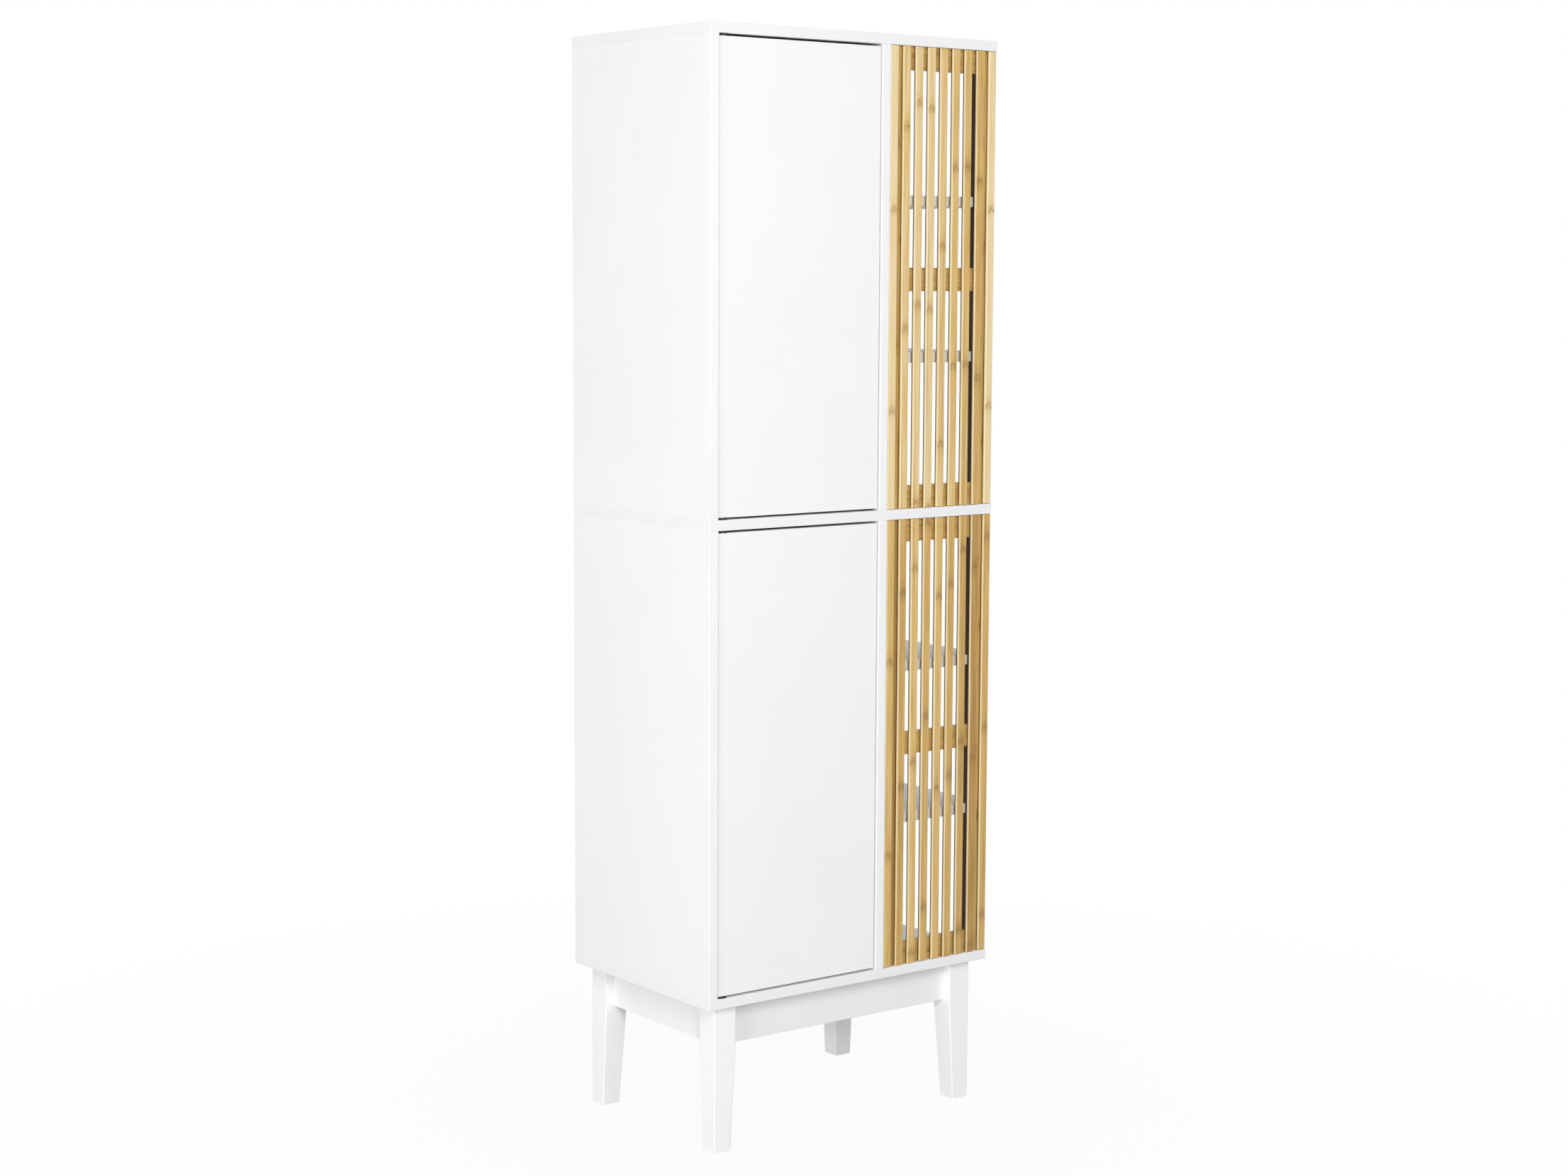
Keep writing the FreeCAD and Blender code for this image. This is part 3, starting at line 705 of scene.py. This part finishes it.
class CABINET_OT_model_loose_shelves(bpy.types.Operator):
    """Models the loose shelves behind the doors"""

    bl_idname = "cabinet.model_loose_shelves"
    bl_label = "Model loose shelves"

    def execute(self, context):
        settings = context.scene.cabinet_lacquer
        edges = context.scene.cabinet_edges
        finish = lacquer("shelf_lacquer", settings.side_colour, settings.roughness)
        for node in shelf_nodes("left"):
            shelf = rounded_block(node + "_board", *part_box(node), edges.shelf, edges.segments)
            fit(shelf, "cabinet", "white_shelf", finish, node)
        return {"FINISHED"}


class CABINET_OT_model_doors(bpy.types.Operator):
    """Models the two doors"""

    bl_idname = "cabinet.model_doors"
    bl_label = "Model doors"

    def execute(self, context):
        settings = context.scene.cabinet_lacquer
        edges = context.scene.cabinet_edges
        finish = lacquer("door_lacquer", settings.door_colour, settings.roughness)
        for node in storey_nodes("door"):
            panel = rounded_block(node + "_panel", *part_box(node), edges.door, edges.segments)
            fit(panel, node, "white_door", finish, node)
        return {"FINISHED"}


class CABINET_OT_model_back_panels(bpy.types.Operator):
    """Models the back panels, with the holes for the wall screws and the nails round their edges"""

    bl_idname = "cabinet.model_back_panels"
    bl_label = "Model back panels"

    NAIL_PROUD = 0.35 * MM
    NAIL_INSET = 2.8 * MM
    NAIL_RADIUS = 1.5 * MM
    NAIL_SHANK = 0.7 * MM
    NAIL_LENGTH = 3 * MM
    PANEL_EDGE = 0.3 * MM

    def wall_holes(self):
        """Middles and radius of the holes for the wall screws."""
        mount = next(m for m in frame["record"]["mounts"] if m["name"] == "wall_fixing")
        dims = mount["dims"]
        reach = Vector((dims["spacing_x_mm"] * MM / 2, 0, 0))
        middle = Vector(mount["pos_m"])
        return [middle - reach, middle + reach], dims["hole_r_mm"] * MM

    def nail(self):
        """A nail with a low domed head, and the panel's surface at zero."""
        head = self.NAIL_PROUD
        rings = [(self.NAIL_SHANK, -self.NAIL_LENGTH), (self.NAIL_SHANK, -head / 2),
                 (self.NAIL_RADIUS, -head / 4), (self.NAIL_RADIUS, head / 2), (self.NAIL_RADIUS * 0.6, head)]
        return turned("nail", rings, sides=14)

    def nail_places(self, low, high, columns, spacing):
        """Nails along the panel's top and bottom edges and up each column."""
        inset = self.NAIL_INSET
        across = max(2, round((high.x - low.x) / spacing))
        up = max(2, round((high.z - low.z) / spacing))
        places = []
        for i in range(across + 1):
            x = low.x + inset + i * (high.x - low.x - 2 * inset) / across
            places += [Vector((x, high.y, z)) for z in (low.z + inset, high.z - inset)]
        for i in range(1, up):
            z = low.z + i * (high.z - low.z) / up
            places += [Vector((x, high.y, z)) for x in columns]
        return places

    def execute(self, context):
        fittings = context.scene.cabinet_fittings
        finish = hardboard("back_film", context.scene.cabinet_lacquer.back_colour)
        metal = steel("nail_steel", fittings.steel_colour)
        holes, radius = self.wall_holes()
        for storey in STOREYS:
            node = "back_panel_" + storey
            low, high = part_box(node)
            high.y -= self.NAIL_PROUD
            panel = add_block(node + "_board", low, high)
            round_edges(panel, self.PANEL_EDGE, segments=2)
            for hole in holes:
                if low.z < hole.z < high.z:
                    reach = 3 * (high.y - low.y)
                    drill = turned("drill", [(radius, -reach), (radius, reach)], sides=32)
                    move_into_place(drill, hole, BACK)
                    cut_out(panel, drill)
            smooth(panel)
            fit(panel, "cabinet", "white_back", finish, node)
            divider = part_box("divider_" + storey)
            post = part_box("rear_post_" + storey)
            columns = [low.x + self.NAIL_INSET]
            columns += [(box[0].x + box[1].x) / 2 for box in (divider, post)]
            nail = self.nail()
            places = self.nail_places(low, high, columns, fittings.nail_spacing)
            nails = copies_at(nail, "back_nails_" + storey, places, BACK)
            fit(nails, "cabinet", "steel", metal)
        return {"FINISHED"}


class CABINET_OT_model_slats(bpy.types.Operator):
    """Models the upright bamboo slats of both screens"""

    bl_idname = "cabinet.model_slats"
    bl_label = "Model slats"

    COUNT = 9
    WIDTH = 13 * MM
    SEED = 91145

    # The tone of each screen's first slat, how much deeper the last one is, and how far a slat may depart
    TONES = {"lower": (0.49, 0.21), "upper": (0.06, 0.55)}
    TONE_CHANCE = 0.16
    PALE_END_TONE = 0.02

    def tone(self, storey, i, chance):
        """How deep a slat's tone is: deeper to the right, but pale at both ends of the upper screen."""
        if storey == "upper" and i in (0, self.COUNT - 1):
            return self.PALE_END_TONE
        start, growth = self.TONES[storey]
        return start + growth * i / (self.COUNT - 1) + chance.uniform(-self.TONE_CHANCE, self.TONE_CHANCE)

    def execute(self, context):
        chance = random.Random(self.SEED)
        edges = context.scene.cabinet_edges
        low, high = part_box("slats_upper")
        pitch = (high.x - low.x - self.WIDTH) / (self.COUNT - 1)
        first = low.x - (pitch - self.WIDTH) / 2
        finish = bamboo("slat_bamboo", context.scene.cabinet_bamboo, pitch, first, front=low.y)
        for storey in STOREYS:
            node = "slats_" + storey
            low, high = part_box(node)
            pattern = rounded_block("slat", low, Vector((low.x + self.WIDTH, high.y, high.z)),
                                    edges.slat, edges.segments)
            for i in range(self.COUNT):
                slat = copy_of(pattern, "slat_%s_%d" % (storey, i + 1))
                move_into_place(slat, Vector((i * pitch, 0, 0)))
                tint(slat, self.tone(storey, i, chance))
                fit(slat, "cabinet", "bamboo_slat", finish, node)
            delete(pattern)
        return {"FINISHED"}


class CABINET_OT_model_screen_frames(bpy.types.Operator):
    """Models the stiles, rails and posts behind the slats"""

    bl_idname = "cabinet.model_screen_frames"
    bl_label = "Model screen frames"

    STRIP = 6.2 * MM
    EDGE = 0.7 * MM
    RAIL_HEIGHT = 34 * MM
    RAIL_TONE = 0.75
    POST_TONE = 0.55
    STILE_TONES = {"stile_upper": 0.7, "stile_lower": 1.0}

    def execute(self, context):
        settings = context.scene.cabinet_bamboo
        upright = bamboo("upright_bamboo", settings, self.STRIP, 0.0)
        # The front posts get painted shade on their left faces, which lie in shade behind the last slats
        corner = bamboo("post_bamboo_painted_shade", settings, self.STRIP, 0.0, shaded_left=True)
        level = bamboo("level_bamboo", settings, self.STRIP, 0.0, level=True)
        segments = context.scene.cabinet_edges.segments
        for node in storey_nodes("stile", "front_post", "rear_post"):
            piece = rounded_block(node + "_bar", *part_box(node), self.EDGE, segments)
            tint(piece, self.STILE_TONES.get(node, self.POST_TONE))
            finish = corner if node.startswith("front_post") else upright
            fit(piece, "cabinet", "bamboo_frame", finish, node)
        for storey in STOREYS:
            node = "rails_" + storey
            low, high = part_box(node)
            low.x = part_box("stile_" + storey)[1].x
            high.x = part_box("front_post_" + storey)[0].x
            high.z = low.z + self.RAIL_HEIGHT
            pattern = rounded_block("rail", low, high, self.EDGE, segments)
            rise = (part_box(node)[1].z - high.z) / 2
            for i, place in enumerate(("bottom", "middle", "top")):
                rail = copy_of(pattern, "rail_%s_%s" % (storey, place))
                move_into_place(rail, Vector((0, 0, i * rise)))
                tint(rail, self.RAIL_TONE)
                fit(rail, "cabinet", "bamboo_frame", level, node)
            delete(pattern)
        return {"FINISHED"}


class CABINET_OT_model_base(bpy.types.Operator):
    """Models the tapered legs and the aprons between them"""

    bl_idname = "cabinet.model_base"
    bl_label = "Model base"

    FOOT = 29.5 * MM
    APRON_EDGE = 0.8 * MM
    POCKET_RADIUS = 10.05 * MM
    POCKET_DEPTH = 2 * MM

    def leg(self, low, high, knee, edges):
        """A leg at the front left: square down to the aprons, then tapered on its two inner faces."""
        leg = add_block("leg", Vector((low.x, low.y, knee)), high)
        bpy.ops.object.mode_set(mode="EDIT")
        select_faces(leg, lambda middle, normal: normal.z < -0.9)
        bpy.ops.mesh.extrude_region_move(TRANSFORM_OT_translate={"value": (0, 0, low.z - knee)})
        share = self.FOOT / (high.x - low.x)
        bpy.ops.transform.resize(value=(share, share, 1), center_override=low)
        bpy.ops.object.mode_set(mode="OBJECT")
        round_edges(leg, edges.leg, edges.segments, upright_edge)
        rings = [(self.POCKET_RADIUS, -self.POCKET_DEPTH), (self.POCKET_RADIUS, self.POCKET_DEPTH)]
        pocket = turned("pocket", rings, sides=40)
        move_into_place(pocket, low + Vector((self.FOOT / 2, self.FOOT / 2, 0)))
        cut_out(leg, pocket)
        smooth(leg)
        return leg

    def execute(self, context):
        settings = context.scene.cabinet_lacquer
        edges = context.scene.cabinet_edges
        # Painted light and shade: the legs and side aprons get a lighter white, and the front and back
        # aprons the darker white of the boards as shade under the boards' overhang
        finish = lacquer("base_lacquer_painted_light", settings.painted_light_base_colour, settings.roughness)
        apron_finish_painted_shade = lacquer("apron_lacquer_painted_shade", settings.board_colour, settings.roughness)
        low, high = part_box("leg_front_left")
        pattern = self.leg(low, high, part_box("apron_front")[0].z, edges)
        to_middle = Matrix.Translation((low + high) / -2)
        for quarter, name in enumerate(("front_left", "front_right", "back_right", "back_left")):
            node = "leg_" + name
            leg = copy_of(pattern, node + "_post")
            own_low, own_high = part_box(node)
            turn = Matrix.Rotation(quarter * math.pi / 2, 4, "Z")
            leg.matrix_world = Matrix.Translation((own_low + own_high) / 2) @ turn @ to_middle
            activate(leg)
            bpy.ops.object.transform_apply(location=True, rotation=True, scale=True)
            fit(leg, "cabinet", "white_base", finish, node)
        delete(pattern)
        for side in ("front", "back", "left", "right"):
            node = "apron_" + side
            crosswise = side in ("front", "back")
            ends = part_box(node)
            for corner, leg_end in zip(ends, (high, -high)):
                if crosswise:
                    corner.x = leg_end.x
                else:
                    corner.y = leg_end.y
            apron = rounded_block(node + "_bar", *ends, self.APRON_EDGE, edges.segments)
            fit(apron, "cabinet", "white_base", apron_finish_painted_shade if crosswise else finish, node)
        return {"FINISHED"}


class CABINET_OT_model_screws(bpy.types.Operator):
    """Models the screws and bolts whose heads or ends can be seen"""

    bl_idname = "cabinet.model_screws"
    bl_label = "Model screws"

    HEAD_SIDES = 28
    BOLT_SIDES = 20
    SHELF_SCREW_SUNK = 0.1 * MM
    LATCH_FLANGE = 3 * MM
    LATCH_SCREW_RISE = 12.5 * MM

    # The corner braces that the base screws and the leg bolts go through
    LEG_EDGE = 1.5 * MM
    BRACE_THICKNESS = 20 * MM
    BASE_SCREW_OFFSET = 8 * MM
    BOLT_IN_LEG = 24 * MM
    BOLT_LENGTH = 56 * MM

    def pan_head(self, name, radius, height, shank, length):
        """A pan-head screw with its head up and the underside of the head at zero."""
        rings = [(shank * 0.2, -length), (shank, -length + 2 * shank), (shank, 0), (radius, 0),
                 (radius, height * 0.45), (radius * 0.86, height * 0.85), (radius * 0.55, height)]
        screw = turned(name, rings, self.HEAD_SIDES)
        cross_recess(screw, radius * 1.15, radius * 0.3, height * 0.6)
        return screw

    def flat_head(self, name, radius, height, shank, length):
        """A countersunk screw with its head up and the top of the head at zero."""
        rings = [(shank * 0.2, -length), (shank, -length + 2 * shank), (shank, -height),
                 (radius * 0.97, -0.15 * MM), (radius * 0.9, 0)]
        screw = turned(name, rings, self.HEAD_SIDES)
        cross_recess(screw, radius * 1.1, radius * 0.28, height * 0.55)
        return screw

    def threaded_bolt(self, name, radius, length, thread, pitch):
        """A bolt along the Z axis from zero, with turns of thread along its far end."""
        rings = [(radius, 0), (radius, length - thread)]
        turns = int(thread / pitch)
        for i in range(turns):
            start = length - thread + i * pitch
            rings += [(radius * 0.84, start + pitch * 0.3), (radius, start + pitch * 0.8)]
        rings.append((radius * 0.78, length))
        return turned(name, rings, self.BOLT_SIDES)

    def leg_diagonals(self):
        """The outer corner of each leg at the bolts' height and the level direction inwards from it."""
        height = sum(corner.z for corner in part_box("leg_nuts")) / 2
        diagonals = []
        for name in ("front_left", "front_right", "back_left", "back_right"):
            low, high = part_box("leg_" + name)
            middle = (low + high) / 2
            across = -1 if middle.x > 0 else 1
            along = -1 if middle.y > 0 else 1
            corner = Vector((low.x if across > 0 else high.x, low.y if along > 0 else high.y, height))
            diagonals.append((corner, Vector((across, along, 0)).normalized()))
        return diagonals

    def brace_distance(self):
        """How far along a diagonal a corner brace starts from the leg's outer corner."""
        low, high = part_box("leg_front_left")
        return ((high - low).x * 2 - self.LEG_EDGE) / math.sqrt(2)

    def bracket_screws(self):
        """Screws up through the wall brackets into the top board."""
        low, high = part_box("bracket_screws")
        radius = 3.5 * MM
        height = 2 * MM
        y = (low.y + high.y) / 2
        places = [Vector((x, y, low.z + height)) for x in (low.x + radius, high.x - radius)]
        length = high.z - low.z - height
        screw = self.pan_head("bracket_screw", radius, height, shank=1.75 * MM, length=length)
        return copies_at(screw, "bracket_screw_set", places, DOWN)

    def base_screws(self):
        """Screws up through the corner braces, beside the leg bolts, into the bottom board."""
        low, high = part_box("base_screws")
        height = 2.5 * MM
        places = []
        for corner, inwards in self.leg_diagonals():
            middle = corner + inwards * (self.brace_distance() + self.BRACE_THICKNESS / 2)
            middle += inwards.cross(UP) * self.BASE_SCREW_OFFSET
            places.append(Vector((middle.x, middle.y, low.z + height)))
        length = high.z - low.z - height
        screw = self.pan_head("base_screw", 4 * MM, height, shank=2 * MM, length=length)
        return copies_at(screw, "base_screw_set", places, DOWN)

    def shelf_screws(self):
        """Countersunk screws through the dividers into the fixed shelves."""
        low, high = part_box("shelf_screws")
        radius = 4.5 * MM
        places = []
        for node in shelf_nodes("right"):
            z = sum(corner.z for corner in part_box(node)) / 2
            for y in (low.y + radius, high.y - radius):
                places.append(Vector((low.x + self.SHELF_SCREW_SUNK, y, z)))
        screw = self.flat_head("shelf_screw", radius, height=3 * MM, shank=2.5 * MM, length=50 * MM)
        return copies_at(screw, "shelf_screw_set", places, LEFT)

    def leg_bolts(self):
        """Bolts along the diagonals, from inside the legs through the corner braces."""
        pattern = self.threaded_bolt("leg_bolt", 3 * MM, self.BOLT_LENGTH, thread=20 * MM, pitch=1 * MM)
        bolts = []
        for corner, inwards in self.leg_diagonals():
            bolt = copy_of(pattern, "leg_bolt_set")
            move_into_place(bolt, corner + inwards * (self.brace_distance() - self.BOLT_IN_LEG), inwards)
            bolts.append(bolt)
        delete(pattern)
        return joined(bolts, "leg_bolt_set")

    def latch_screws(self, storey):
        """Screws through the flange of a push latch into the divider."""
        low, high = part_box("latch_body_" + storey)
        middle = (low + high) / 2
        face = high.x - self.LATCH_FLANGE
        rises = (-self.LATCH_SCREW_RISE, self.LATCH_SCREW_RISE)
        places = [Vector((face, middle.y, middle.z + rise)) for rise in rises]
        screw = self.pan_head("latch_screw", 2.9 * MM, 1.6 * MM, shank=1.4 * MM, length=12 * MM)
        return copies_at(screw, "latch_screws_" + storey, places, LEFT)

    def execute(self, context):
        metal = steel("screw_steel", context.scene.cabinet_fittings.steel_colour)
        fit(self.bracket_screws(), "cabinet", "steel", metal, "bracket_screws")
        fit(self.base_screws(), "cabinet", "steel", metal, "base_screws")
        fit(self.shelf_screws(), "cabinet", "steel", metal, "shelf_screws")
        fit(self.leg_bolts(), "cabinet", "steel", metal, "leg_bolts")
        for storey in STOREYS:
            fit(self.latch_screws(storey), "cabinet", "steel", metal)
        return {"FINISHED"}


class CABINET_OT_model_strikes(bpy.types.Operator):
    """Models the strike plates on the backs of the doors"""

    bl_idname = "cabinet.model_strikes"
    bl_label = "Model strikes"

    CORNER = 2 * MM
    EDGE = 0.2 * MM

    def execute(self, context):
        metal = steel("strike_steel", context.scene.cabinet_fittings.steel_colour)
        for storey in STOREYS:
            node = "strike_plate_" + storey
            low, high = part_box(node)
            plate = add_block(node + "_plate", low, high)
            round_edges(plate, self.CORNER, 4, lambda start, end: abs(start.y - end.y) > self.EDGE)
            round_edges(plate, self.EDGE, segments=2)
            smooth(plate)
            fit(plate, "door_" + storey, "steel", metal, node)
        return {"FINISHED"}


class CABINET_OT_finish_fittings(bpy.types.Operator):
    """Finishes the pins, brackets, nuts, latches, bushes, glides, dowels and braces"""

    bl_idname = "cabinet.finish_fittings"
    bl_label = "Finish fittings"

    def execute(self, context):
        settings = context.scene.cabinet_fittings
        paint(steel("fitting_steel", settings.steel_colour),
              "shelf_pins", "leg_nuts", "wall_brackets", *storey_nodes("pivot_pins"))
        paint(moulded("nylon", settings.nylon_colour, roughness=0.45),
              "foot_glides", *storey_nodes("latch_body"))
        paint(moulded("dark_nylon", settings.tip_colour, roughness=0.6),
              *storey_nodes("latch_plunger"))
        paint(moulded("black_nylon", settings.bush_colour, roughness=0.6), "pivot_bushes")
        paint(timber("bare_timber", settings.timber_colour),
              "corner_braces", "board_dowels", "shelf_dowels")
        return {"FINISHED"}


class CABINET_OT_set_stage(bpy.types.Operator):
    """Sets the floor, the lamps, the white surround and the camera"""

    bl_idname = "cabinet.set_stage"
    bl_label = "Set stage"

    # How white the floor is near the cabinet and far from it, and the distances between which that changes
    FLOOR_SIZE = 60
    NEAR_WHITE = 0.95
    FAR_WHITE = 1.0
    WHITENS_FROM = 0.4
    WHITENS_TO = 1.5

    # Where the soft light all round is strongest, and its strength there and opposite, as shares of the sky
    BRIGHT_SIDE = Vector((0.55, 0.65, 0.5)).normalized()
    BRIGHTEST = 1.64
    DIMMEST = 0.36

    KEY_PLACE = Vector((-4.5, -1.4, 0.75))
    KEY_AIM = Vector((0, 0, 0.6))
    KEY_SIZE = (1.3, 1.5)
    FILL_PLACE = Vector((-2.3, -4.3, 2.6))
    FILL_AIM = Vector((0, 0, 0.85))
    FILL_SIZE = (1.2, 2.6)

    CAMERA_PLACE = (-2.47189, -3.27247, 1.26006)
    CAMERA_AZIMUTH = math.radians(-37.088)
    CAMERA_TILT = math.radians(90 - 6.554)
    CAMERA_ROLL = math.radians(0.269)
    SENSOR_WIDTH = 36

    def seen_or_mirrored(self, tree):
        """One for rays that come from the camera, a mirror or through glass, nought for light."""
        path = tree.nodes.new("ShaderNodeLightPath")
        total = path.outputs["Is Camera Ray"]
        for name in ("Is Glossy Ray", "Is Transmission Ray"):
            add = tree.nodes.new("ShaderNodeMath")
            add.operation = "MAXIMUM"
            tree.links.new(total, add.inputs[0])
            tree.links.new(path.outputs[name], add.inputs[1])
            total = add.outputs[0]
        return total

    def ranged(self, tree, value, *numbers):
        """Maps a value from one range to another."""
        node = tree.nodes.new("ShaderNodeMapRange")
        tree.links.new(value, node.inputs[0])
        for socket, number in zip(node.inputs[1:5], numbers):
            socket.default_value = number
        return node.outputs[0]

    def mixed(self, tree, share, first, second):
        """A mix of two shaders."""
        node = tree.nodes.new("ShaderNodeMixShader")
        for socket, value in zip(node.inputs, (share, first, second)):
            tree.links.new(value, socket)
        return node.outputs[0]

    def floor(self, colour):
        """A pale floor that fades into the white surround and keeps the cabinet's shadow."""
        clear_selection()
        bpy.ops.mesh.primitive_plane_add(size=self.FLOOR_SIZE, location=(0, 0, 0))
        floor = named("studio_floor")
        material = bpy.data.materials.new("studio_floor")
        material.use_nodes = True
        tree = material.node_tree
        tree.nodes.clear()
        place = tree.nodes.new("ShaderNodeTexCoord")
        distance = tree.nodes.new("ShaderNodeVectorMath")
        distance.operation = "LENGTH"
        tree.links.new(place.outputs["Object"], distance.inputs[0])
        fade = self.ranged(tree, distance.outputs["Value"], self.WHITENS_FROM, self.WHITENS_TO,
                           self.NEAR_WHITE, self.FAR_WHITE)
        share = tree.nodes.new("ShaderNodeMath")
        share.operation = "MULTIPLY"
        tree.links.new(fade, share.inputs[0])
        tree.links.new(self.seen_or_mirrored(tree), share.inputs[1])
        pale = tree.nodes.new("ShaderNodeBsdfDiffuse")
        pale.inputs["Color"].default_value = (*colour, 1)
        white = tree.nodes.new("ShaderNodeEmission")
        output = tree.nodes.new("ShaderNodeOutputMaterial")
        surface = self.mixed(tree, share.outputs[0], pale.outputs[0], white.outputs[0])
        tree.links.new(surface, output.inputs["Surface"])
        floor.data.materials.append(material)

    def surround(self, scene, strength):
        """Soft light from all round, strongest from behind and above on the right.

        It is plain white where the camera looks past the floor."""
        world = bpy.data.worlds.new("studio")
        world.use_nodes = True
        tree = world.node_tree
        way = tree.nodes.new("ShaderNodeTexCoord")
        turn = tree.nodes.new("ShaderNodeVectorMath")
        turn.operation = "DOT_PRODUCT"
        turn.inputs[1].default_value = self.BRIGHT_SIDE
        tree.links.new(way.outputs["Generated"], turn.inputs[0])
        dim = self.ranged(tree, turn.outputs["Value"], -1.0, 1.0,
                          self.DIMMEST * strength, self.BRIGHTEST * strength)
        light = tree.nodes["Background"]
        white = tree.nodes.new("ShaderNodeBackground")
        for background in (light, white):
            background.inputs["Color"].default_value = (1, 1, 1, 1)
        tree.links.new(dim, light.inputs["Strength"])
        surface = self.mixed(tree, self.seen_or_mirrored(tree), light.outputs[0], white.outputs[0])
        tree.links.new(surface, tree.nodes["World Output"].inputs["Surface"])
        scene.world = world

    def lamp(self, name, place, aim, size, power):
        """A soft box that faces a point."""
        turn = (aim - place).to_track_quat("-Z", "Y").to_euler()
        bpy.ops.object.light_add(type="AREA", location=place, rotation=turn)
        lamp = named(name)
        lamp.data.shape = "RECTANGLE"
        lamp.data.size = size[0]
        lamp.data.size_y = size[1]
        lamp.data.energy = power

    def camera(self, scene, lens):
        """The camera of the photograph."""
        turn = (Matrix.Rotation(self.CAMERA_AZIMUTH, 4, "Z")
                @ Matrix.Rotation(self.CAMERA_TILT, 4, "X")
                @ Matrix.Rotation(self.CAMERA_ROLL, 4, "Z"))
        bpy.ops.object.camera_add(location=self.CAMERA_PLACE, rotation=turn.to_euler())
        camera = named("studio_camera")
        camera.data.lens = lens
        camera.data.sensor_width = self.SENSOR_WIDTH
        scene.camera = camera

    def execute(self, context):
        settings = context.scene.cabinet_studio
        self.floor(settings.floor_colour)
        self.surround(context.scene, settings.sky)
        self.lamp("key", self.KEY_PLACE, self.KEY_AIM, self.KEY_SIZE, settings.key_power)
        self.lamp("fill", self.FILL_PLACE, self.FILL_AIM, self.FILL_SIZE, settings.fill_power)
        self.camera(context.scene, settings.lens)
        context.scene.view_settings.view_transform = "Standard"
        return {"FINISHED"}


PIECES = (
    CABINET_OT_finish_body,
    CABINET_OT_model_loose_shelves,
    CABINET_OT_model_doors,
    CABINET_OT_model_back_panels,
    CABINET_OT_model_slats,
    CABINET_OT_model_screen_frames,
    CABINET_OT_model_base,
    CABINET_OT_model_screws,
    CABINET_OT_model_strikes,
    CABINET_OT_finish_fittings,
    CABINET_OT_set_stage,
)


class CABINET_PT_build(bpy.types.Panel):
    """Lists the steps of the cabinet"""

    bl_idname = "CABINET_PT_build"
    bl_label = "Bathroom cabinet"
    bl_space_type = "VIEW_3D"
    bl_region_type = "UI"
    bl_category = "Cabinet"

    def draw(self, context):
        for step in PIECES:
            self.layout.operator(step.bl_idname)
        for name in SETTINGS:
            group = getattr(context.scene, name)
            box = self.layout.box()
            for field in group.bl_rna.properties.keys():
                if field not in ("rna_type", "name"):
                    box.prop(group, field)


SETTINGS = {
    "cabinet_lacquer": LacquerSettings,
    "cabinet_bamboo": BambooSettings,
    "cabinet_edges": EdgeSettings,
    "cabinet_fittings": FittingSettings,
    "cabinet_studio": StudioSettings,
}


def register():
    for group in SETTINGS.values():
        bpy.utils.register_class(group)
    for name, group in SETTINGS.items():
        setattr(bpy.types.Scene, name, PointerProperty(type=group))
    for step in PIECES:
        bpy.utils.register_class(step)
    bpy.utils.register_class(CABINET_PT_build)


def unregister():
    bpy.utils.unregister_class(CABINET_PT_build)
    for step in reversed(PIECES):
        bpy.utils.unregister_class(step)
    for name in SETTINGS:
        delattr(bpy.types.Scene, name)
    for group in SETTINGS.values():
        bpy.utils.unregister_class(group)


def main():
    register()
    bpy.ops.cabinet.finish_body()
    bpy.ops.cabinet.model_loose_shelves()
    bpy.ops.cabinet.model_doors()
    bpy.ops.cabinet.model_back_panels()
    bpy.ops.cabinet.model_slats()
    bpy.ops.cabinet.model_screen_frames()
    bpy.ops.cabinet.model_base()
    bpy.ops.cabinet.model_screws()
    bpy.ops.cabinet.model_strikes()
    bpy.ops.cabinet.finish_fittings()
    bpy.ops.cabinet.set_stage()


if __name__ == "__main__":
    main()
